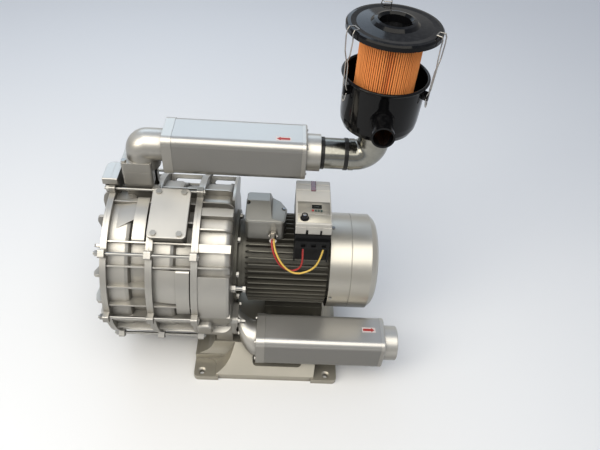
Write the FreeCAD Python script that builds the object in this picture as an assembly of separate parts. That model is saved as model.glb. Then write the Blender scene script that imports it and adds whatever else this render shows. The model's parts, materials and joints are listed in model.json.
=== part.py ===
import FreeCAD, Part
import math
import os

# Three-stage ring blower with its motor, silencers, inlet filter and speed inverter.
# Millimetres. +X runs along the shaft towards the motor's fan, +Z is up,
# -Y is the side with the outlet. The origin is the centre of the base bolt pattern,
# on the floor.

# Driving dimensions: shaft and stages
SHAFT_Z = 310.0
STAGE_PITCH = 132.0
FIRST_JOINT_X = -480.0
STAGES = 3
DRIVE_END_X = -110.0
RIM_R = 266.0
FLANGE_T = 10.0
COVER_FLANGE_T = 8.0
BARREL_R = 247.0
RECESS_R = 226.0
BARREL_RATIO = 0.53
BARREL_ROUND = 12.0

# Ribs of the stage housings
RIB_R = 261.0
RIB_T = 5.0
RIB_OFFSETS = (-8.0, 8.0, 22.5)
DUCT_R = 262.0

# Ducts of the first two stages: where the slope ends and the box ends, from the left joint
DUCT_SLOPE_1 = 80.0
DUCT_END_1 = 116.0
DUCT_BOX_1 = (53.0, 87.0)
DUCT_SLOPE_2 = 79.0
DUCT_END_2 = 118.0
DUCT_BOX_2 = (1.0, 36.0)
DUCT_ROUND = 9.0
SLOPE_EDGE = (48.0, 9.0)

# Open bar at the back of the second and third stages
BAR_ANGLE = 134.0
BAR_W = 18.0
BAR_BARREL_R = 237.0
BAR_R0 = 251.0
BAR_R1 = 264.0
BAR_END = 14.0
BAR_RIBLESS = (112.0, 156.0)

# Drive housing: shoulder at the motor's end
SHELL_R = 241.0
SHOULDER = 26.0
RIB_SHOULDER = 31.0
END_RIM = (86.0, 142.0)
END_RIM_T = 8.0
BOSS_ANGLE = -15.0
BOSS_R = 273.0
BOSS_LEN = 48.0
BOSS_HALF = 30.0

# Side channels and impellers
CHANNEL_R0 = 152.0
CHANNEL_R1 = 212.0
CHANNEL_DEPTH = 24.0
COVER_CHANNEL = 14.0
CHANNEL_ROUND = 12.0
IMPELLER_R = 209.0
IMPELLER_HALF = 24.0
IMPELLER_X = 26.5
IMPELLER_GAP = 1.5
IMPELLER_WEB = 5.0
IMPELLER_HUB_R = 58.0
VANE_COUNT = 30
VANE_T = 5.0
VANE_R0 = 154.0
VANE_DEPTH = 19.0

# Tie rods
TIE_COUNT = 8
TIE_CIRCLE_R = 275.0
TIE_ROD_R = 5.0
TIE_HOLE_GAP = 0.4
LUG_W = 26.0
LUG_R0 = 252.0
NUT_AF = 17.0
NUT_T = 10.0
ROD_END = 5.0
DRIVE_NUT_T = 4.0
DRIVE_ROD_END = 1.5
LUG_R = TIE_CIRCLE_R + LUG_W / 2

# Outboard cover
COVER_X = -514.0
COVER_WALL_X = -492.0
COVER_RIBS = 18
COVER_RIB_T = 8.0
HUB_R = 66.0
HUB_X = -520.0

# Transfer cover over the second joint
TRANSFER_ANGLE = 71.0
TRANSFER_RISE = 22.5
TRANSFER_TOP_R = RIM_R + TRANSFER_RISE
TRANSFER_T = 8.5
TRANSFER_LEN = 166.0
TRANSFER_X0 = -353.0
TRANSFER_X1 = -239.0
TRANSFER_CORNER = 15.0
TRANSFER_INSET = 7.0
TRANSFER_BOLT_X = 20.0
TRANSFER_BOLT_Y = 14.0
TRANSFER_STEP = 6.0

# Inlet port block and inlet elbow
INLET_Y = 47.0
INLET_Z = 722.0
PORT_X0 = -443.0
PORT_X1 = -354.0
PORT_HALF_Y = 49.0
PORT_SPLIT_Z = 651.0
PORT_TOP_Z = 684.0
PORT_LIP_Z = 606.0
PORT_NECK_STEP = 9.0
PORT_BORE_STEP = 8.0
ELBOW_X = -384.0
ELBOW_R = 48.0
ELBOW_TURN = 18.0
ELBOW_WALL = 6.0
HUMP_X0 = -506.0
HUMP_X1 = -461.0
HUMP_Z = 623.0
HUMP_LIP_Z = 602.0
HUMP_Y0 = -2.0
HUMP_Y1 = 80.0

# Silencers: rounded square boxes with an end plate and an end cap
BOX_S = 127.0
BOX_CORNER = 23.0
BOX_WALL = 3.0
PLATE_T = 28.0
PLATE_LIP = 1.0
CAP_T = 14.0
BOX_BORE_R = 42.0
LINER_GAP = 0.3
INLET_BOX_X0 = -315.0
INLET_BOX_LEN = 412.0
COLLAR_R = 55.0
COLLAR_LEN = 40.5

# Outlet side
OUTLET_Y = -222.0
OUTLET_Z = 151.0
OUTLET_BOX_X0 = -29.0
OUTLET_BOX_LEN = 418.0
BOX_ROOM = 3.0
OUTLET_PIPE_R = 56.5
OUTLET_PIPE_LEN = 44.0
OUTLET_FLANGE_Z = 188.0
OUTLET_FLANGE_HALF = 42.0
OUTLET_FLANGE_X = -99.0
CONNECTOR_FLANGE_T = 8.0

# Sleeve, elbow and filter
SLEEVE_R = 46.0
SLEEVE_WALL = 2.5
SLEEVE_SEAT = 0.5
SLEEVE_LEN = 86.0
SLEEVE_X0 = INLET_BOX_X0 + INLET_BOX_LEN + COLLAR_LEN - SLEEVE_SEAT
SLEEVE_X1 = SLEEVE_X0 + SLEEVE_LEN
BAND_W = 12.0
BAND_T = 2.0
BAND_NEAR_CAP = 0.8
BAND_NEAR_ELBOW = 16.0
BAND_XS = (SLEEVE_X0 + BAND_NEAR_CAP, SLEEVE_X1 - BAND_NEAR_ELBOW)
FILTER_REACH = 66.0
FILTER_X = SLEEVE_X1 + FILTER_REACH
FILTER_Y = 47.0
FILTER_PIPE_R = 45.5
CANISTER_Z0 = 833.0
CANISTER_Z1 = 992.0
CANISTER_R = 112.0
CANISTER_WALL = 2.5
CANISTER_ROUND = 34.0
CANISTER_FOOT_R = 80.0
CANISTER_TAPER = 4.0
RIM_ROLL_R = 4.5
NOZZLE_R = 28.0
NOZZLE_LIP_R = 30.5
NOZZLE_LIP = 9.0
NOZZLE_WALL = 2.5
NOZZLE_Z = 913.0
NOZZLE_LEN = 182.5
NOZZLE_SWING = 4.3
ELEMENT_R = 81.0
ELEMENT_CORE_R = 48.0
ELEMENT_SEAT_Z = 852.0
LID_R = 123.0
LID_TOP_Z = 1131.0
LID_SKIRT = 17.0
LID_T = 2.5
LID_HOLE_R = 42.0
LID_RISE = 10.0
LID_GAP = 0.3

# Latches of the filter lid
LATCH_ANGLES = (207.0, 329.0, 93.0)
LATCH_WIRE_R = 1.6
LATCH_W = 12.0
LATCH_BULGE_W = 32.0
LATCH_EYE_Z = 1052.0
LATCH_LUG_Z = 972.0
LATCH_LUG_R = 124.0
LATCH_TOP_GAP = 5.0
LEVER_DROP = 10.0
LEVER_LEN = 26.0

# Motor
MOTOR_X0 = -86.0
MOTOR_X1 = 193.0
FIN_R = 150.0
FRAME_R = 124.0
FRAME_BORE_R = 112.0
FIN_COUNT = 44
FIN_T = 3.6
MOTOR_FLANGE_LIP = 31.0
MOTOR_FLANGE_R = FRAME_R + MOTOR_FLANGE_LIP
OUTLET_CLEAR = 17.0
OUTLET_FLANGE_Y = -MOTOR_FLANGE_R - OUTLET_CLEAR
STUD_R = 190.0
STUD_ANGLE = 14.5
STUD_LEN = 34.0
COWL_X1 = 352.0
COWL_R = 160.0
COWL_WALL = 3.0
COWL_SEAM_X = 262.0
COWL_END = ((-26.0, 0.0), (-10.0, -14.0), (-3.0, -26.0), (0.0, -36.0))
COWL_SCREWS = (86.0, 176.0, 266.0, 356.0)
STATOR_BORE_R = 72.0
AIR_GAP = 1.0
STACK_X0 = -50.0
STACK_X1 = 150.0
SHAFT_R = 30.0
SHAFT_SEAT_R = 25.0
SHAFT_GAP = 1.0
BEARING_R = 50.0
BEARING_W = 22.0
RUNNING_GAP = 0.05
SEAT_GAP = 0.1
FAN_R = 132.0
FAN_X0 = 214.0
FAN_X1 = 262.0
FAN_BLADES = 8

# Motor support block
FOOT_X0 = -8.0
FOOT_X1 = 190.0
FOOT_HALF_Y = 100.0
FOOT_TOP_Z = 168.0

# Terminal box
BOX_X0 = -77.0
BOX_X1 = 43.0
BOX_Y0 = -55.0
BOX_Y1 = 57.0
BOX_Z0 = 452.0
BOX_Z1 = 513.0
BOX_REACH = 7.0
BOX_CUT = ((50.0, 6.0), (28.0, 42.0), (2.0, 57.0))
LID_RIM = 11.0
LID_DOME = 36.0
LID_FLAT_Y = 16.0
LID_RIGHT_X = -3.0
LID_SKIN = 5.0
GLAND_X = 10.6
GLAND_Z = 478.0
GLAND_R = 11.0
GLAND_LEN = 34.0

# Inverter
INV_X0 = 75.0
INV_X1 = 181.0
INV_Y0 = -132.0
INV_Y1 = 64.0
INV_Z0 = 468.0
INV_Z1 = 600.0
INV_FACE_T = 26.0
INV_COVER_Z = 440.0
INV_LEDGE_Z = 510.0
INV_LEDGE = 15.0
INV_LEDGE_H = 32.0
INV_BROW = 8.0
INV_TABS = ((0.0, 31.0), (38.0, 73.0), (79.0, 106.0))
INV_TAB_Z = 560.0
KNOB_X = 100.0
KNOB_Y = -110.0
KNOB_R = 13.0
KEY_XS = (125.0, 133.5, 142.0, 150.5)
KEY_Y = -75.0
KEY_W = 5.6
KEY_H = 3.0
KEY_TRAVEL = 1.0

# Base casting
BASE_X0 = -236.0
BASE_X1 = 247.0
BASE_HALF_Y = 295.0
BASE_HOLE_X = 210.0
BASE_HOLE_Y = 274.0
BASE_HOLE_R = 9.0
BASE_SINK_R = 15.0
BASE_WALL = 14.0
SADDLE_WALL = 10.0
PAD_T = 20.0
SKIRT_Z = 44.0
SKIRT_HALF_Y = 224.0
LIP_X0 = -162.0
LIP_X1 = 168.0
LIP_HALF_Y = 288.0
LIP_Z = 26.0
DECK_X0 = -172.0
DECK_X1 = 196.0
DECK_HALF_Y = 203.0
DECK_Z = 95.0
WINDOW_X0 = -40.0
WINDOW_X1 = 126.0
WINDOW_Z0 = 46.0
WINDOW_Z1 = 76.0
FLARE_SAG = 12.0
POCKET_R = 30.0

# Wires between the terminal box and the inverter
WIRE_R = 3.0
RED_ROUTE = (
    (7.2, -89.4, 478.0),
    (7.2, -106.0, 477.0),
    (15.0, -125.0, 455.0),
    (36.0, -139.0, 420.0),
    (70.0, -146.0, 404.0),
    (99.0, -148.0, 423.0),
    (104.0, -147.0, 464.0),
    (101.0, -141.0, 509.3),
)
YELLOW_ROUTE = (
    (14.0, -89.4, 478.0),
    (14.2, -106.0, 478.0),
    (23.0, -128.0, 460.0),
    (44.0, -147.0, 430.0),
    (80.0, -158.0, 406.0),
    (122.0, -158.0, 419.0),
    (154.0, -153.0, 453.0),
    (163.0, -141.0, 509.3),
)

X = FreeCAD.Vector(1, 0, 0)
Y = FreeCAD.Vector(0, 1, 0)
Z = FreeCAD.Vector(0, 0, 1)
SHAFT = FreeCAD.Vector(0, 0, SHAFT_Z)
JOINTS = [FIRST_JOINT_X + n * STAGE_PITCH for n in range(STAGES)]
TIE_ANGLES = [n * 360.0 / TIE_COUNT for n in range(TIE_COUNT)]
REACH = 1000.0


def vec(x, y, z):
    """A point or direction."""
    return FreeCAD.Vector(x, y, z)


def block(x0, x1, y0, y1, z0, z1):
    """A box between two corners."""
    return Part.makeBox(x1 - x0, y1 - y0, z1 - z0, vec(x0, y0, z0))


def bar_x(x0, x1, r, y=0.0, z=SHAFT_Z):
    """A round bar along X."""
    return Part.makeCylinder(r, x1 - x0, vec(x0, y, z), X)


def bar_z(x, y, z0, z1, r):
    """A round bar along Z."""
    return Part.makeCylinder(r, z1 - z0, vec(x, y, z0), Z)


def fuse(shapes):
    """One solid from touching or overlapping shapes."""
    shapes = list(shapes)
    return shapes[0].multiFuse(shapes[1:]).removeSplitter()


def group(shapes):
    """Separate solids kept in one compound."""
    return Part.makeCompound(list(shapes))


def face_of(points):
    """A flat face from a closed outline of points."""
    return Part.Face(Part.makePolygon(list(points) + [points[0]]))


def turned(profile, angle0=0.0, angle1=360.0):
    """Turn an outline of (x, radius) points about the shaft, from angle0 to angle1.

    Angles start at the front (-Y) and rise towards +Z.
    """
    outline = face_of([vec(x, -r, SHAFT_Z) for x, r in profile])
    if angle0 != 0.0:
        outline.rotate(SHAFT, X, -angle0)
    return outline.revolve(SHAFT, vec(-1, 0, 0), angle1 - angle0)


def turned_z(profile, x, y):
    """Turn an outline of (radius, z) points about a vertical axis."""
    outline = face_of([vec(x + r, y, z) for r, z in profile])
    return outline.revolve(vec(x, y, 0), Z, 360.0)


def at_angle(shape, angle):
    """Turn a shape that was built at the top of the casing to an angle from the front."""
    copy = shape.copy()
    copy.rotate(SHAFT, X, 90.0 - angle)
    return copy


def rounded(shape, radius, picks):
    """Round the straight edges that lie along one axis."""
    edges = []
    for edge in shape.Edges:
        if edge.Curve.TypeId != "Part::GeomLine":
            continue
        along = edge.tangentAt(edge.FirstParameter)
        if abs(abs(along.dot(picks)) - 1.0) < 1e-6:
            edges.append(edge)
    return shape.makeFillet(radius, edges)


def rounded_box(x0, x1, y0, y1, z0, z1, radius, along=X):
    """A box with the four edges along one axis rounded."""
    return rounded(block(x0, x1, y0, y1, z0, z1), radius, along)


def square_bar(x0, x1, y, z, size, corner):
    """A rounded square bar along X."""
    half = size / 2
    return rounded_box(x0, x1, y - half, y + half, z - half, z + half, corner)


def hexagon(p, direction, across, thick, bore=0.0):
    """A hexagonal nut or bolt head that stands on p along a direction."""
    r = across / math.sqrt(3.0)
    points = [vec(r * math.cos(math.radians(60 * n)), r * math.sin(math.radians(60 * n)), 0)
              for n in range(6)]
    solid = face_of(points).extrude(vec(0, 0, thick))
    if bore:
        solid = solid.cut(Part.makeCylinder(bore, thick))
    solid.Placement = FreeCAD.Placement(p, FreeCAD.Rotation(Z, direction))
    return solid


def bolt(p, direction, across, head, shank_r, shank):
    """A hexagon head on p with a shank that goes back into the work."""
    top = hexagon(p, direction, across, head)
    back = vec(-direction.x, -direction.y, -direction.z)
    return top.fuse(Part.makeCylinder(shank_r, shank, p, back))


def drill(shape, points, direction, radius, depth):
    """Cut one round hole at each point, from the point back into the shape."""
    back = vec(-direction.x, -direction.y, -direction.z)
    holes = [Part.makeCylinder(radius, depth, p, back) for p in points]
    return shape.cut(Part.makeCompound(holes))


def impeller_cut(joint_x):
    """The space of an impeller and of the side channel beyond it, to the right of a joint."""
    room = IMPELLER_X + IMPELLER_HALF + IMPELLER_GAP
    deep = room + CHANNEL_DEPTH
    edge = CHANNEL_ROUND
    profile = [(-1.0, 0), (room, 0), (room, CHANNEL_R0), (deep - edge, CHANNEL_R0),
               (deep, CHANNEL_R0 + edge), (deep, CHANNEL_R1 - edge),
               (deep - edge, CHANNEL_R1), (-1.0, CHANNEL_R1)]
    return turned([(joint_x + x, r) for x, r in profile])


def channel_cut(joint_x, depth):
    """The side channel on the left of a joint, cut to a depth."""
    edge = depth / 2
    profile = [(1.0, CHANNEL_R0), (edge - depth, CHANNEL_R0), (-depth, CHANNEL_R0 + edge),
               (-depth, CHANNEL_R1 - edge), (edge - depth, CHANNEL_R1), (1.0, CHANNEL_R1)]
    return turned([(joint_x + x, r) for x, r in profile])


def rib(x0, x1, r0, angle, thick=RIB_T, r1=RIB_R):
    """One rib along the casing."""
    top = block(x0, x1, -thick / 2, thick / 2, SHAFT_Z + r0, SHAFT_Z + r1)
    return at_angle(top, angle)


def lugs(x0, x1):
    """The eight square lugs that the tie rods pass through."""
    top = block(x0, x1, -LUG_W / 2, LUG_W / 2, SHAFT_Z + LUG_R0, SHAFT_Z + LUG_R)
    top = rounded(top, 4.0, X)
    return [at_angle(top, a) for a in TIE_ANGLES]


def tie_holes(x0, x1):
    """The tie rods' clearance holes between two planes."""
    hole = bar_x(x0, x1, TIE_ROD_R + TIE_HOLE_GAP, 0, SHAFT_Z + TIE_CIRCLE_R)
    return [at_angle(hole, a) for a in TIE_ANGLES]


def stage_body(x0, x1, left_flange, right_flange, bare):
    """A stage's barrel with its rims, ribs and lugs, still solid inside.

    No rib stands between the two angles of a bare stretch.
    """
    step_x = x0 + (x1 - x0) * BARREL_RATIO
    barrel = turned([
        (x0, 0), (x0, RIM_R), (x0 + left_flange, RIM_R), (x0 + left_flange, BARREL_R),
        (step_x - BARREL_ROUND, BARREL_R), (step_x - 3.0, BARREL_R - 5.0),
        (step_x, BARREL_R - BARREL_ROUND), (step_x + 2.0, RECESS_R),
        (x1 - right_flange, RECESS_R), (x1 - right_flange, RIM_R), (x1, RIM_R), (x1, 0)])
    parts = [barrel]
    for tie in TIE_ANGLES:
        for offset in RIB_OFFSETS:
            angle = tie + offset
            if not any(low < angle < high for low, high in bare):
                parts.append(rib(x0 + 1.0, x1 - 1.0, RECESS_R - 6.0, angle))
    parts += lugs(x0, x0 + left_flange)
    parts += lugs(x1 - right_flange, x1)
    return parts


def hollow_stage(body, x0, x1):
    """Cut the two side channels, the shaft's way and the tie rod holes."""
    tools = [impeller_cut(x0), channel_cut(x1, CHANNEL_DEPTH)]
    tools.append(bar_x(x0, x1, SHAFT_R + SHAFT_GAP))
    tools += tie_holes(x0 - 1.0, x1 + 1.0)
    return body.cut(Part.makeCompound(tools))


def duct_box(x0, x1, angles):
    """The full part of a duct, with its crest's long edges rounded."""
    box = turned([(x0, RECESS_R - 6.0), (x0, DUCT_R), (x1, DUCT_R), (x1, RECESS_R - 6.0)],
                 angles[0], angles[1])
    crest = [e for e in box.Edges if e.Curve.TypeId == "Part::GeomLine"
             and abs(e.Length - (x1 - x0)) < 0.1 and out_from_shaft(e.CenterOfMass) > DUCT_R - 1.0]
    return box.makeFillet(DUCT_ROUND, crest)


def out_from_shaft(p):
    """The distance of a point from the shaft's axis."""
    return math.hypot(p.y, p.z - SHAFT_Z)


def sloped_duct(x0, x1, low_r, angle0, angle1):
    """The sloping part of a duct, from a low edge at x0 up to the box at x1."""
    return turned([(x0, RECESS_R - 6.0), (x0, low_r), (x1, DUCT_R - 6.0), (x1, RECESS_R - 6.0)],
                  angle0, angle1)


def slope_trim(x0, x1):
    """The corner that a slanting line cuts off the first duct's slope."""
    far = -TRANSFER_LEN / 2
    outline = face_of([vec(x0 - 1.0, far, 0), vec(x0 - 1.0, -SLOPE_EDGE[0], 0),
                       vec(x1, -SLOPE_EDGE[1], 0), vec(x1, far, 0)])
    outline.translate(vec(0, 0, SHAFT_Z + CHANNEL_R1))
    return at_angle(outline.extrude(vec(0, 0, RIM_R - CHANNEL_R1)), TRANSFER_ANGLE)


def inlet_port(x0, x1):
    """The inlet's neck and block on top of the first stage."""
    y0 = INLET_Y - PORT_HALF_Y
    y1 = INLET_Y + PORT_HALF_Y
    neck = block(x0 + 4.0, x1 - 4.0, y0 + PORT_NECK_STEP, y1 - 4.0,
                 SHAFT_Z + RECESS_R - 30.0, PORT_LIP_Z + 1.0)
    head = rounded_box(x0, x1, y0, y1, PORT_LIP_Z, PORT_SPLIT_Z, 7.0, Z)
    return neck.fuse(head)


def port_way():
    """The inlet's bore, with a side step down into the first side channel."""
    r = ELBOW_R - ELBOW_WALL - PORT_BORE_STEP
    bore = bar_z(ELBOW_X, INLET_Y, SHAFT_Z + RECESS_R + 14.0, PORT_SPLIT_Z + 1.0, r)
    step = block(PORT_X0 + 13.0, ELBOW_X + r / 2, INLET_Y - r + 4.0, INLET_Y + r - 4.0,
                 SHAFT_Z + RECESS_R + 8.0, SHAFT_Z + RECESS_R + 34.0)
    drop = block(PORT_X0 + 13.0, JOINTS[0] + IMPELLER_X * 2 + CHANNEL_DEPTH - 2.0,
                 INLET_Y - r + 8.0, INLET_Y + r - 12.0, SHAFT_Z + CHANNEL_R1 - 30.0,
                 SHAFT_Z + RECESS_R + 34.0)
    return fuse([bore, step, drop])


def casing_nodes():
    """Outboard cover, the three stage housings and the transfer cover."""
    nodes = {}
    first, second, third = JOINTS
    nodes["outboard_cover"] = outboard_cover(first)

    parts = stage_body(first, second, FLANGE_T, FLANGE_T, [(60.0, 75.0)])
    box_x = first + DUCT_SLOPE_1
    slope = sloped_duct(first + FLANGE_T, box_x, BARREL_R - 3.0, DUCT_BOX_1[0], DUCT_BOX_1[1] - 1.0)
    parts.append(slope.cut(slope_trim(first + FLANGE_T, box_x)))
    parts.append(duct_box(box_x - 1.0, first + DUCT_END_1, DUCT_BOX_1))
    parts.append(inlet_port(PORT_X0, PORT_X1))
    parts.append(hump(first, HUMP_X1, 0.0))
    body = hollow_stage(fuse(parts), first, second)
    body = body.cut(port_way()).cut(transfer_room())
    nodes["stage_housing_1"] = drill(body, port_points(), Z, 4.2, 44.0)

    parts = stage_body(second, third, FLANGE_T, FLANGE_T, [(15.0, 30.0), BAR_RIBLESS])
    box_x = second + DUCT_SLOPE_2
    parts.append(sloped_duct(second + FLANGE_T, box_x, BARREL_R + 2.0, DUCT_BOX_2[0] + 9.0,
                             DUCT_BOX_2[1] - 1.0))
    parts.append(duct_box(box_x - 1.0, second + DUCT_END_2, DUCT_BOX_2))
    parts.append(transfer_seat(second))
    body = fuse(parts).cut(bar_sweep(second + FLANGE_T, third - FLANGE_T))
    body = body.fuse(back_bar(second + FLANGE_T - 1.0, third - FLANGE_T + 1.0))
    body = hollow_stage(body, second, third)
    nodes["stage_housing_2"] = body.cut(transfer_bolt_holes()).cut(transfer_room())

    nodes["drive_housing"] = drive_housing(third)
    nodes["transfer_cover"] = transfer_cover()
    return nodes


def back_bar(x0, x1):
    """A bar along the back of a stage, held clear of the barrel by its two ends."""
    panel = block(x0, x1, -BAR_W / 2, BAR_W / 2, SHAFT_Z + BAR_BARREL_R - 8.0, SHAFT_Z + BAR_R1)
    slot = rounded_box(x0 + BAR_END, x1 - BAR_END, -BAR_W, BAR_W, SHAFT_Z + BAR_BARREL_R - 1.0,
                       SHAFT_Z + BAR_R0, 7.0, Y)
    return at_angle(panel.cut(slot), BAR_ANGLE)


def bar_sweep(x0, x1):
    """The ring of metal that is missing from the barrel under the back bar."""
    return turned([(x0, BAR_BARREL_R), (x0, RIM_R + 1.0), (x1, RIM_R + 1.0), (x1, BAR_BARREL_R)],
                  BAR_ANGLE - 16.0, BAR_ANGLE + 16.0)


def transfer_room():
    """The room that the transfer cover takes above its seat."""
    half = TRANSFER_LEN / 2
    inner = half - TRANSFER_INSET
    top = SHAFT_Z + TRANSFER_TOP_R
    plate = rounded_box(TRANSFER_X0, TRANSFER_X1, -half, half, top - TRANSFER_T, REACH,
                        TRANSFER_CORNER, Z)
    under = block(JOINTS[1], TRANSFER_X1 - TRANSFER_INSET, -inner, inner,
                  top - TRANSFER_T - TRANSFER_STEP, REACH)
    return at_angle(plate.fuse(under), TRANSFER_ANGLE)


def hump(x0, x1, corner):
    """One half of the flat-topped intake box beside the port, with its outer corner rounded."""
    box = block(x0, x1, HUMP_Y0, HUMP_Y1, HUMP_LIP_Z, HUMP_Z)
    if corner:
        upright = [e for e in box.Edges if abs(e.CenterOfMass.x - x0) < 0.1
                   and abs(e.CenterOfMass.y - HUMP_Y1) < 0.1]
        box = box.makeFillet(corner, upright)
    top = [e for e in box.Edges if abs(e.CenterOfMass.z - HUMP_Z) < 0.1
           and abs(e.CenterOfMass.y - HUMP_Y0) < 0.1]
    box = box.makeFillet(4.0, top)
    root = block(x0 + corner, x1, HUMP_Y0 + 12.0, HUMP_Y1, SHAFT_Z + RECESS_R - 20.0, HUMP_LIP_Z + 1.0)
    lean = block(x0 + 2.0, x1, HUMP_Y0 + 12.0, HUMP_Y1 - corner, SHAFT_Z + RECESS_R - 20.0,
                 HUMP_LIP_Z + 1.0)
    return fuse([box, root, lean])


def cover_rib():
    """One cooling rib on the outboard cover, with a rounded crest."""
    r0 = HUB_R - 12.0
    r1 = RIM_R - 6.0
    crest = r1 - 32.0
    outline = [vec(COVER_WALL_X + 4.0, 0, SHAFT_Z + r0), vec(COVER_X, 0, SHAFT_Z + r0 + 24.0),
               vec(COVER_X, 0, SHAFT_Z + crest), vec(COVER_X + 5.0, 0, SHAFT_Z + r1 - 12.0),
               vec(COVER_X + 13.0, 0, SHAFT_Z + r1 - 2.0),
               vec(COVER_WALL_X + 10.0, 0, SHAFT_Z + r1)]
    face = face_of(outline)
    face.translate(vec(0, -COVER_RIB_T / 2, 0))
    return face.extrude(vec(0, COVER_RIB_T, 0))


def outboard_cover(joint_x):
    """The dished end cover with its ribs, bearing hub and half of the hump."""
    back = joint_x - COVER_FLANGE_T
    bulge = COVER_WALL_X - 8.0
    wall = turned([(joint_x, 0), (joint_x, RIM_R), (back, RIM_R), (back, RIM_R - 14.0),
                   (COVER_WALL_X, RIM_R - 26.0), (bulge, CHANNEL_R1 + 4.0),
                   (bulge, CHANNEL_R0 - 4.0), (COVER_WALL_X, CHANNEL_R0 - 18.0),
                   (COVER_WALL_X, HUB_R + 16.0), (COVER_X, HUB_R), (HUB_X + 4.0, HUB_R - 4.0),
                   (HUB_X, HUB_R - 12.0), (HUB_X, 0)])
    parts = [wall] + lugs(back, joint_x)
    step = 360.0 / COVER_RIBS
    parts += [at_angle(cover_rib(), step * (n + 0.5)) for n in range(COVER_RIBS)]
    parts.append(hump(HUMP_X0, joint_x, 20.0))
    cover = fuse(parts)
    bearing = bar_x(HUB_X + 6.0, joint_x + 1.0, BEARING_R + SEAT_GAP)
    cut = [bearing, channel_cut(joint_x, COVER_CHANNEL)] + tie_holes(back - 1.0, joint_x + 1.0)
    return cover.cut(Part.makeCompound(cut))


def shoulder_rib(x0, x1, angle):
    """One rib of the third stage, whose crest curves down at the motor's end."""
    top = block(x0, x1, -RIB_T / 2, RIB_T / 2, SHAFT_Z + RECESS_R, SHAFT_Z + DUCT_R)
    crest = [e for e in top.Edges if abs(e.CenterOfMass.x - x1) < 0.1
             and abs(e.CenterOfMass.z - SHAFT_Z - DUCT_R) < 0.1]
    return at_angle(top.makeFillet(RIB_SHOULDER, crest), angle)


def drive_shell(joint_x):
    """The third stage's barrel with a rim on the left and a round shoulder on the right."""
    end = DRIVE_END_X
    shell = turned([(joint_x, 0), (joint_x, RIM_R), (joint_x + FLANGE_T, RIM_R),
                    (joint_x + FLANGE_T, SHELL_R), (end, SHELL_R), (end, 0)])
    edge = [e for e in shell.Edges if abs(e.CenterOfMass.x - end) < 0.1
            and e.Curve.TypeId == "Part::GeomCircle" and abs(e.Curve.Radius - SHELL_R) < 0.1]
    return shell.makeFillet(SHOULDER, edge)


def drive_boss(joint_x):
    """The round-cornered boss low on the third stage, beside its rim."""
    x0 = joint_x + 2.0
    boss = rounded_box(x0, x0 + BOSS_LEN, -BOSS_HALF, BOSS_HALF, SHAFT_Z + RECESS_R,
                       SHAFT_Z + BOSS_R, 16.0, Z)
    top = [e for e in boss.Edges if abs(e.CenterOfMass.z - SHAFT_Z - BOSS_R) < 0.1]
    return at_angle(boss.makeFillet(8.0, top), BOSS_ANGLE)


def drive_housing(joint_x):
    """The third stage: ribbed shell, outlet duct, foot and the motor's seat."""
    end = DRIVE_END_X
    parts = [drive_shell(joint_x).cut(bar_sweep(joint_x + FLANGE_T, end - SHOULDER))]
    parts += lugs(joint_x, joint_x + FLANGE_T)
    x0 = joint_x + 1.0
    x1 = end - 1.0
    for angle in (84.0, 63.5, 38.0, 97.0, -29.0, -44.0, -60.0, -76.0, -92.0, -108.0, -124.0,
                  166.0, 182.0, 198.0, 214.0, 228.0):
        parts.append(shoulder_rib(x0, x1, angle))
    for low, high in ((73.0, 79.0), (48.0, 53.5)):
        parts.append(turned([(x0, RECESS_R), (x0, DUCT_R), (x1, DUCT_R), (x1, CHANNEL_R1)],
                            low, high))
    parts.append(turned([(end - END_RIM_T, CHANNEL_R1), (end - END_RIM_T, RIM_R), (end, RIM_R),
                         (end, CHANNEL_R1)], END_RIM[0], END_RIM[1]))
    parts.append(back_bar(joint_x + FLANGE_T - 1.0, end - 1.0))
    parts.append(drive_boss(joint_x))
    parts.append(outlet_duct(joint_x))
    body = fuse(parts)
    tools = [impeller_cut(joint_x), bar_x(joint_x, end + 1.0, SHAFT_R + SHAFT_GAP)]
    tools += tie_holes(joint_x - 1.0, joint_x + FLANGE_T + 1.0)
    tools.append(outlet_way(joint_x))
    tools.append(bar_x(end - 9.2, end, SHAFT_R + 14.0 + SEAT_GAP))
    body = body.cut(Part.makeCompound(tools))
    body = body.cut(bar_x(end - 4.0, OUTLET_FLANGE_X + 1.0, MOTOR_FLANGE_R + SEAT_GAP))
    body = drill(body, flange_points(), X, 5.2, 30.0)
    body = drill(body, [stud_point()], X, 5.2, 20.0)
    return drill(body, outlet_flange_points(), X, 4.2, 26.0)


def outlet_outline(x, inset=0.0):
    """The duct's outline across X, from the casing down to the outlet flange."""
    front = OUTLET_FLANGE_Y - OUTLET_FLANGE_HALF + 2.0 + inset
    low = OUTLET_FLANGE_Z - OUTLET_FLANGE_HALF + inset
    back = OUTLET_FLANGE_Y + OUTLET_FLANGE_HALF - inset
    return [vec(x, -DUCT_R + inset, SHAFT_Z - 3.0), vec(x, -DUCT_R + 12.0 + inset, SHAFT_Z - 44.0),
            vec(x, front, SHAFT_Z - 80.0), vec(x, front, low), vec(x, back, low),
            vec(x, back, SHAFT_Z - 60.0), vec(x, -200.0, SHAFT_Z + 20.0)]


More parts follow.
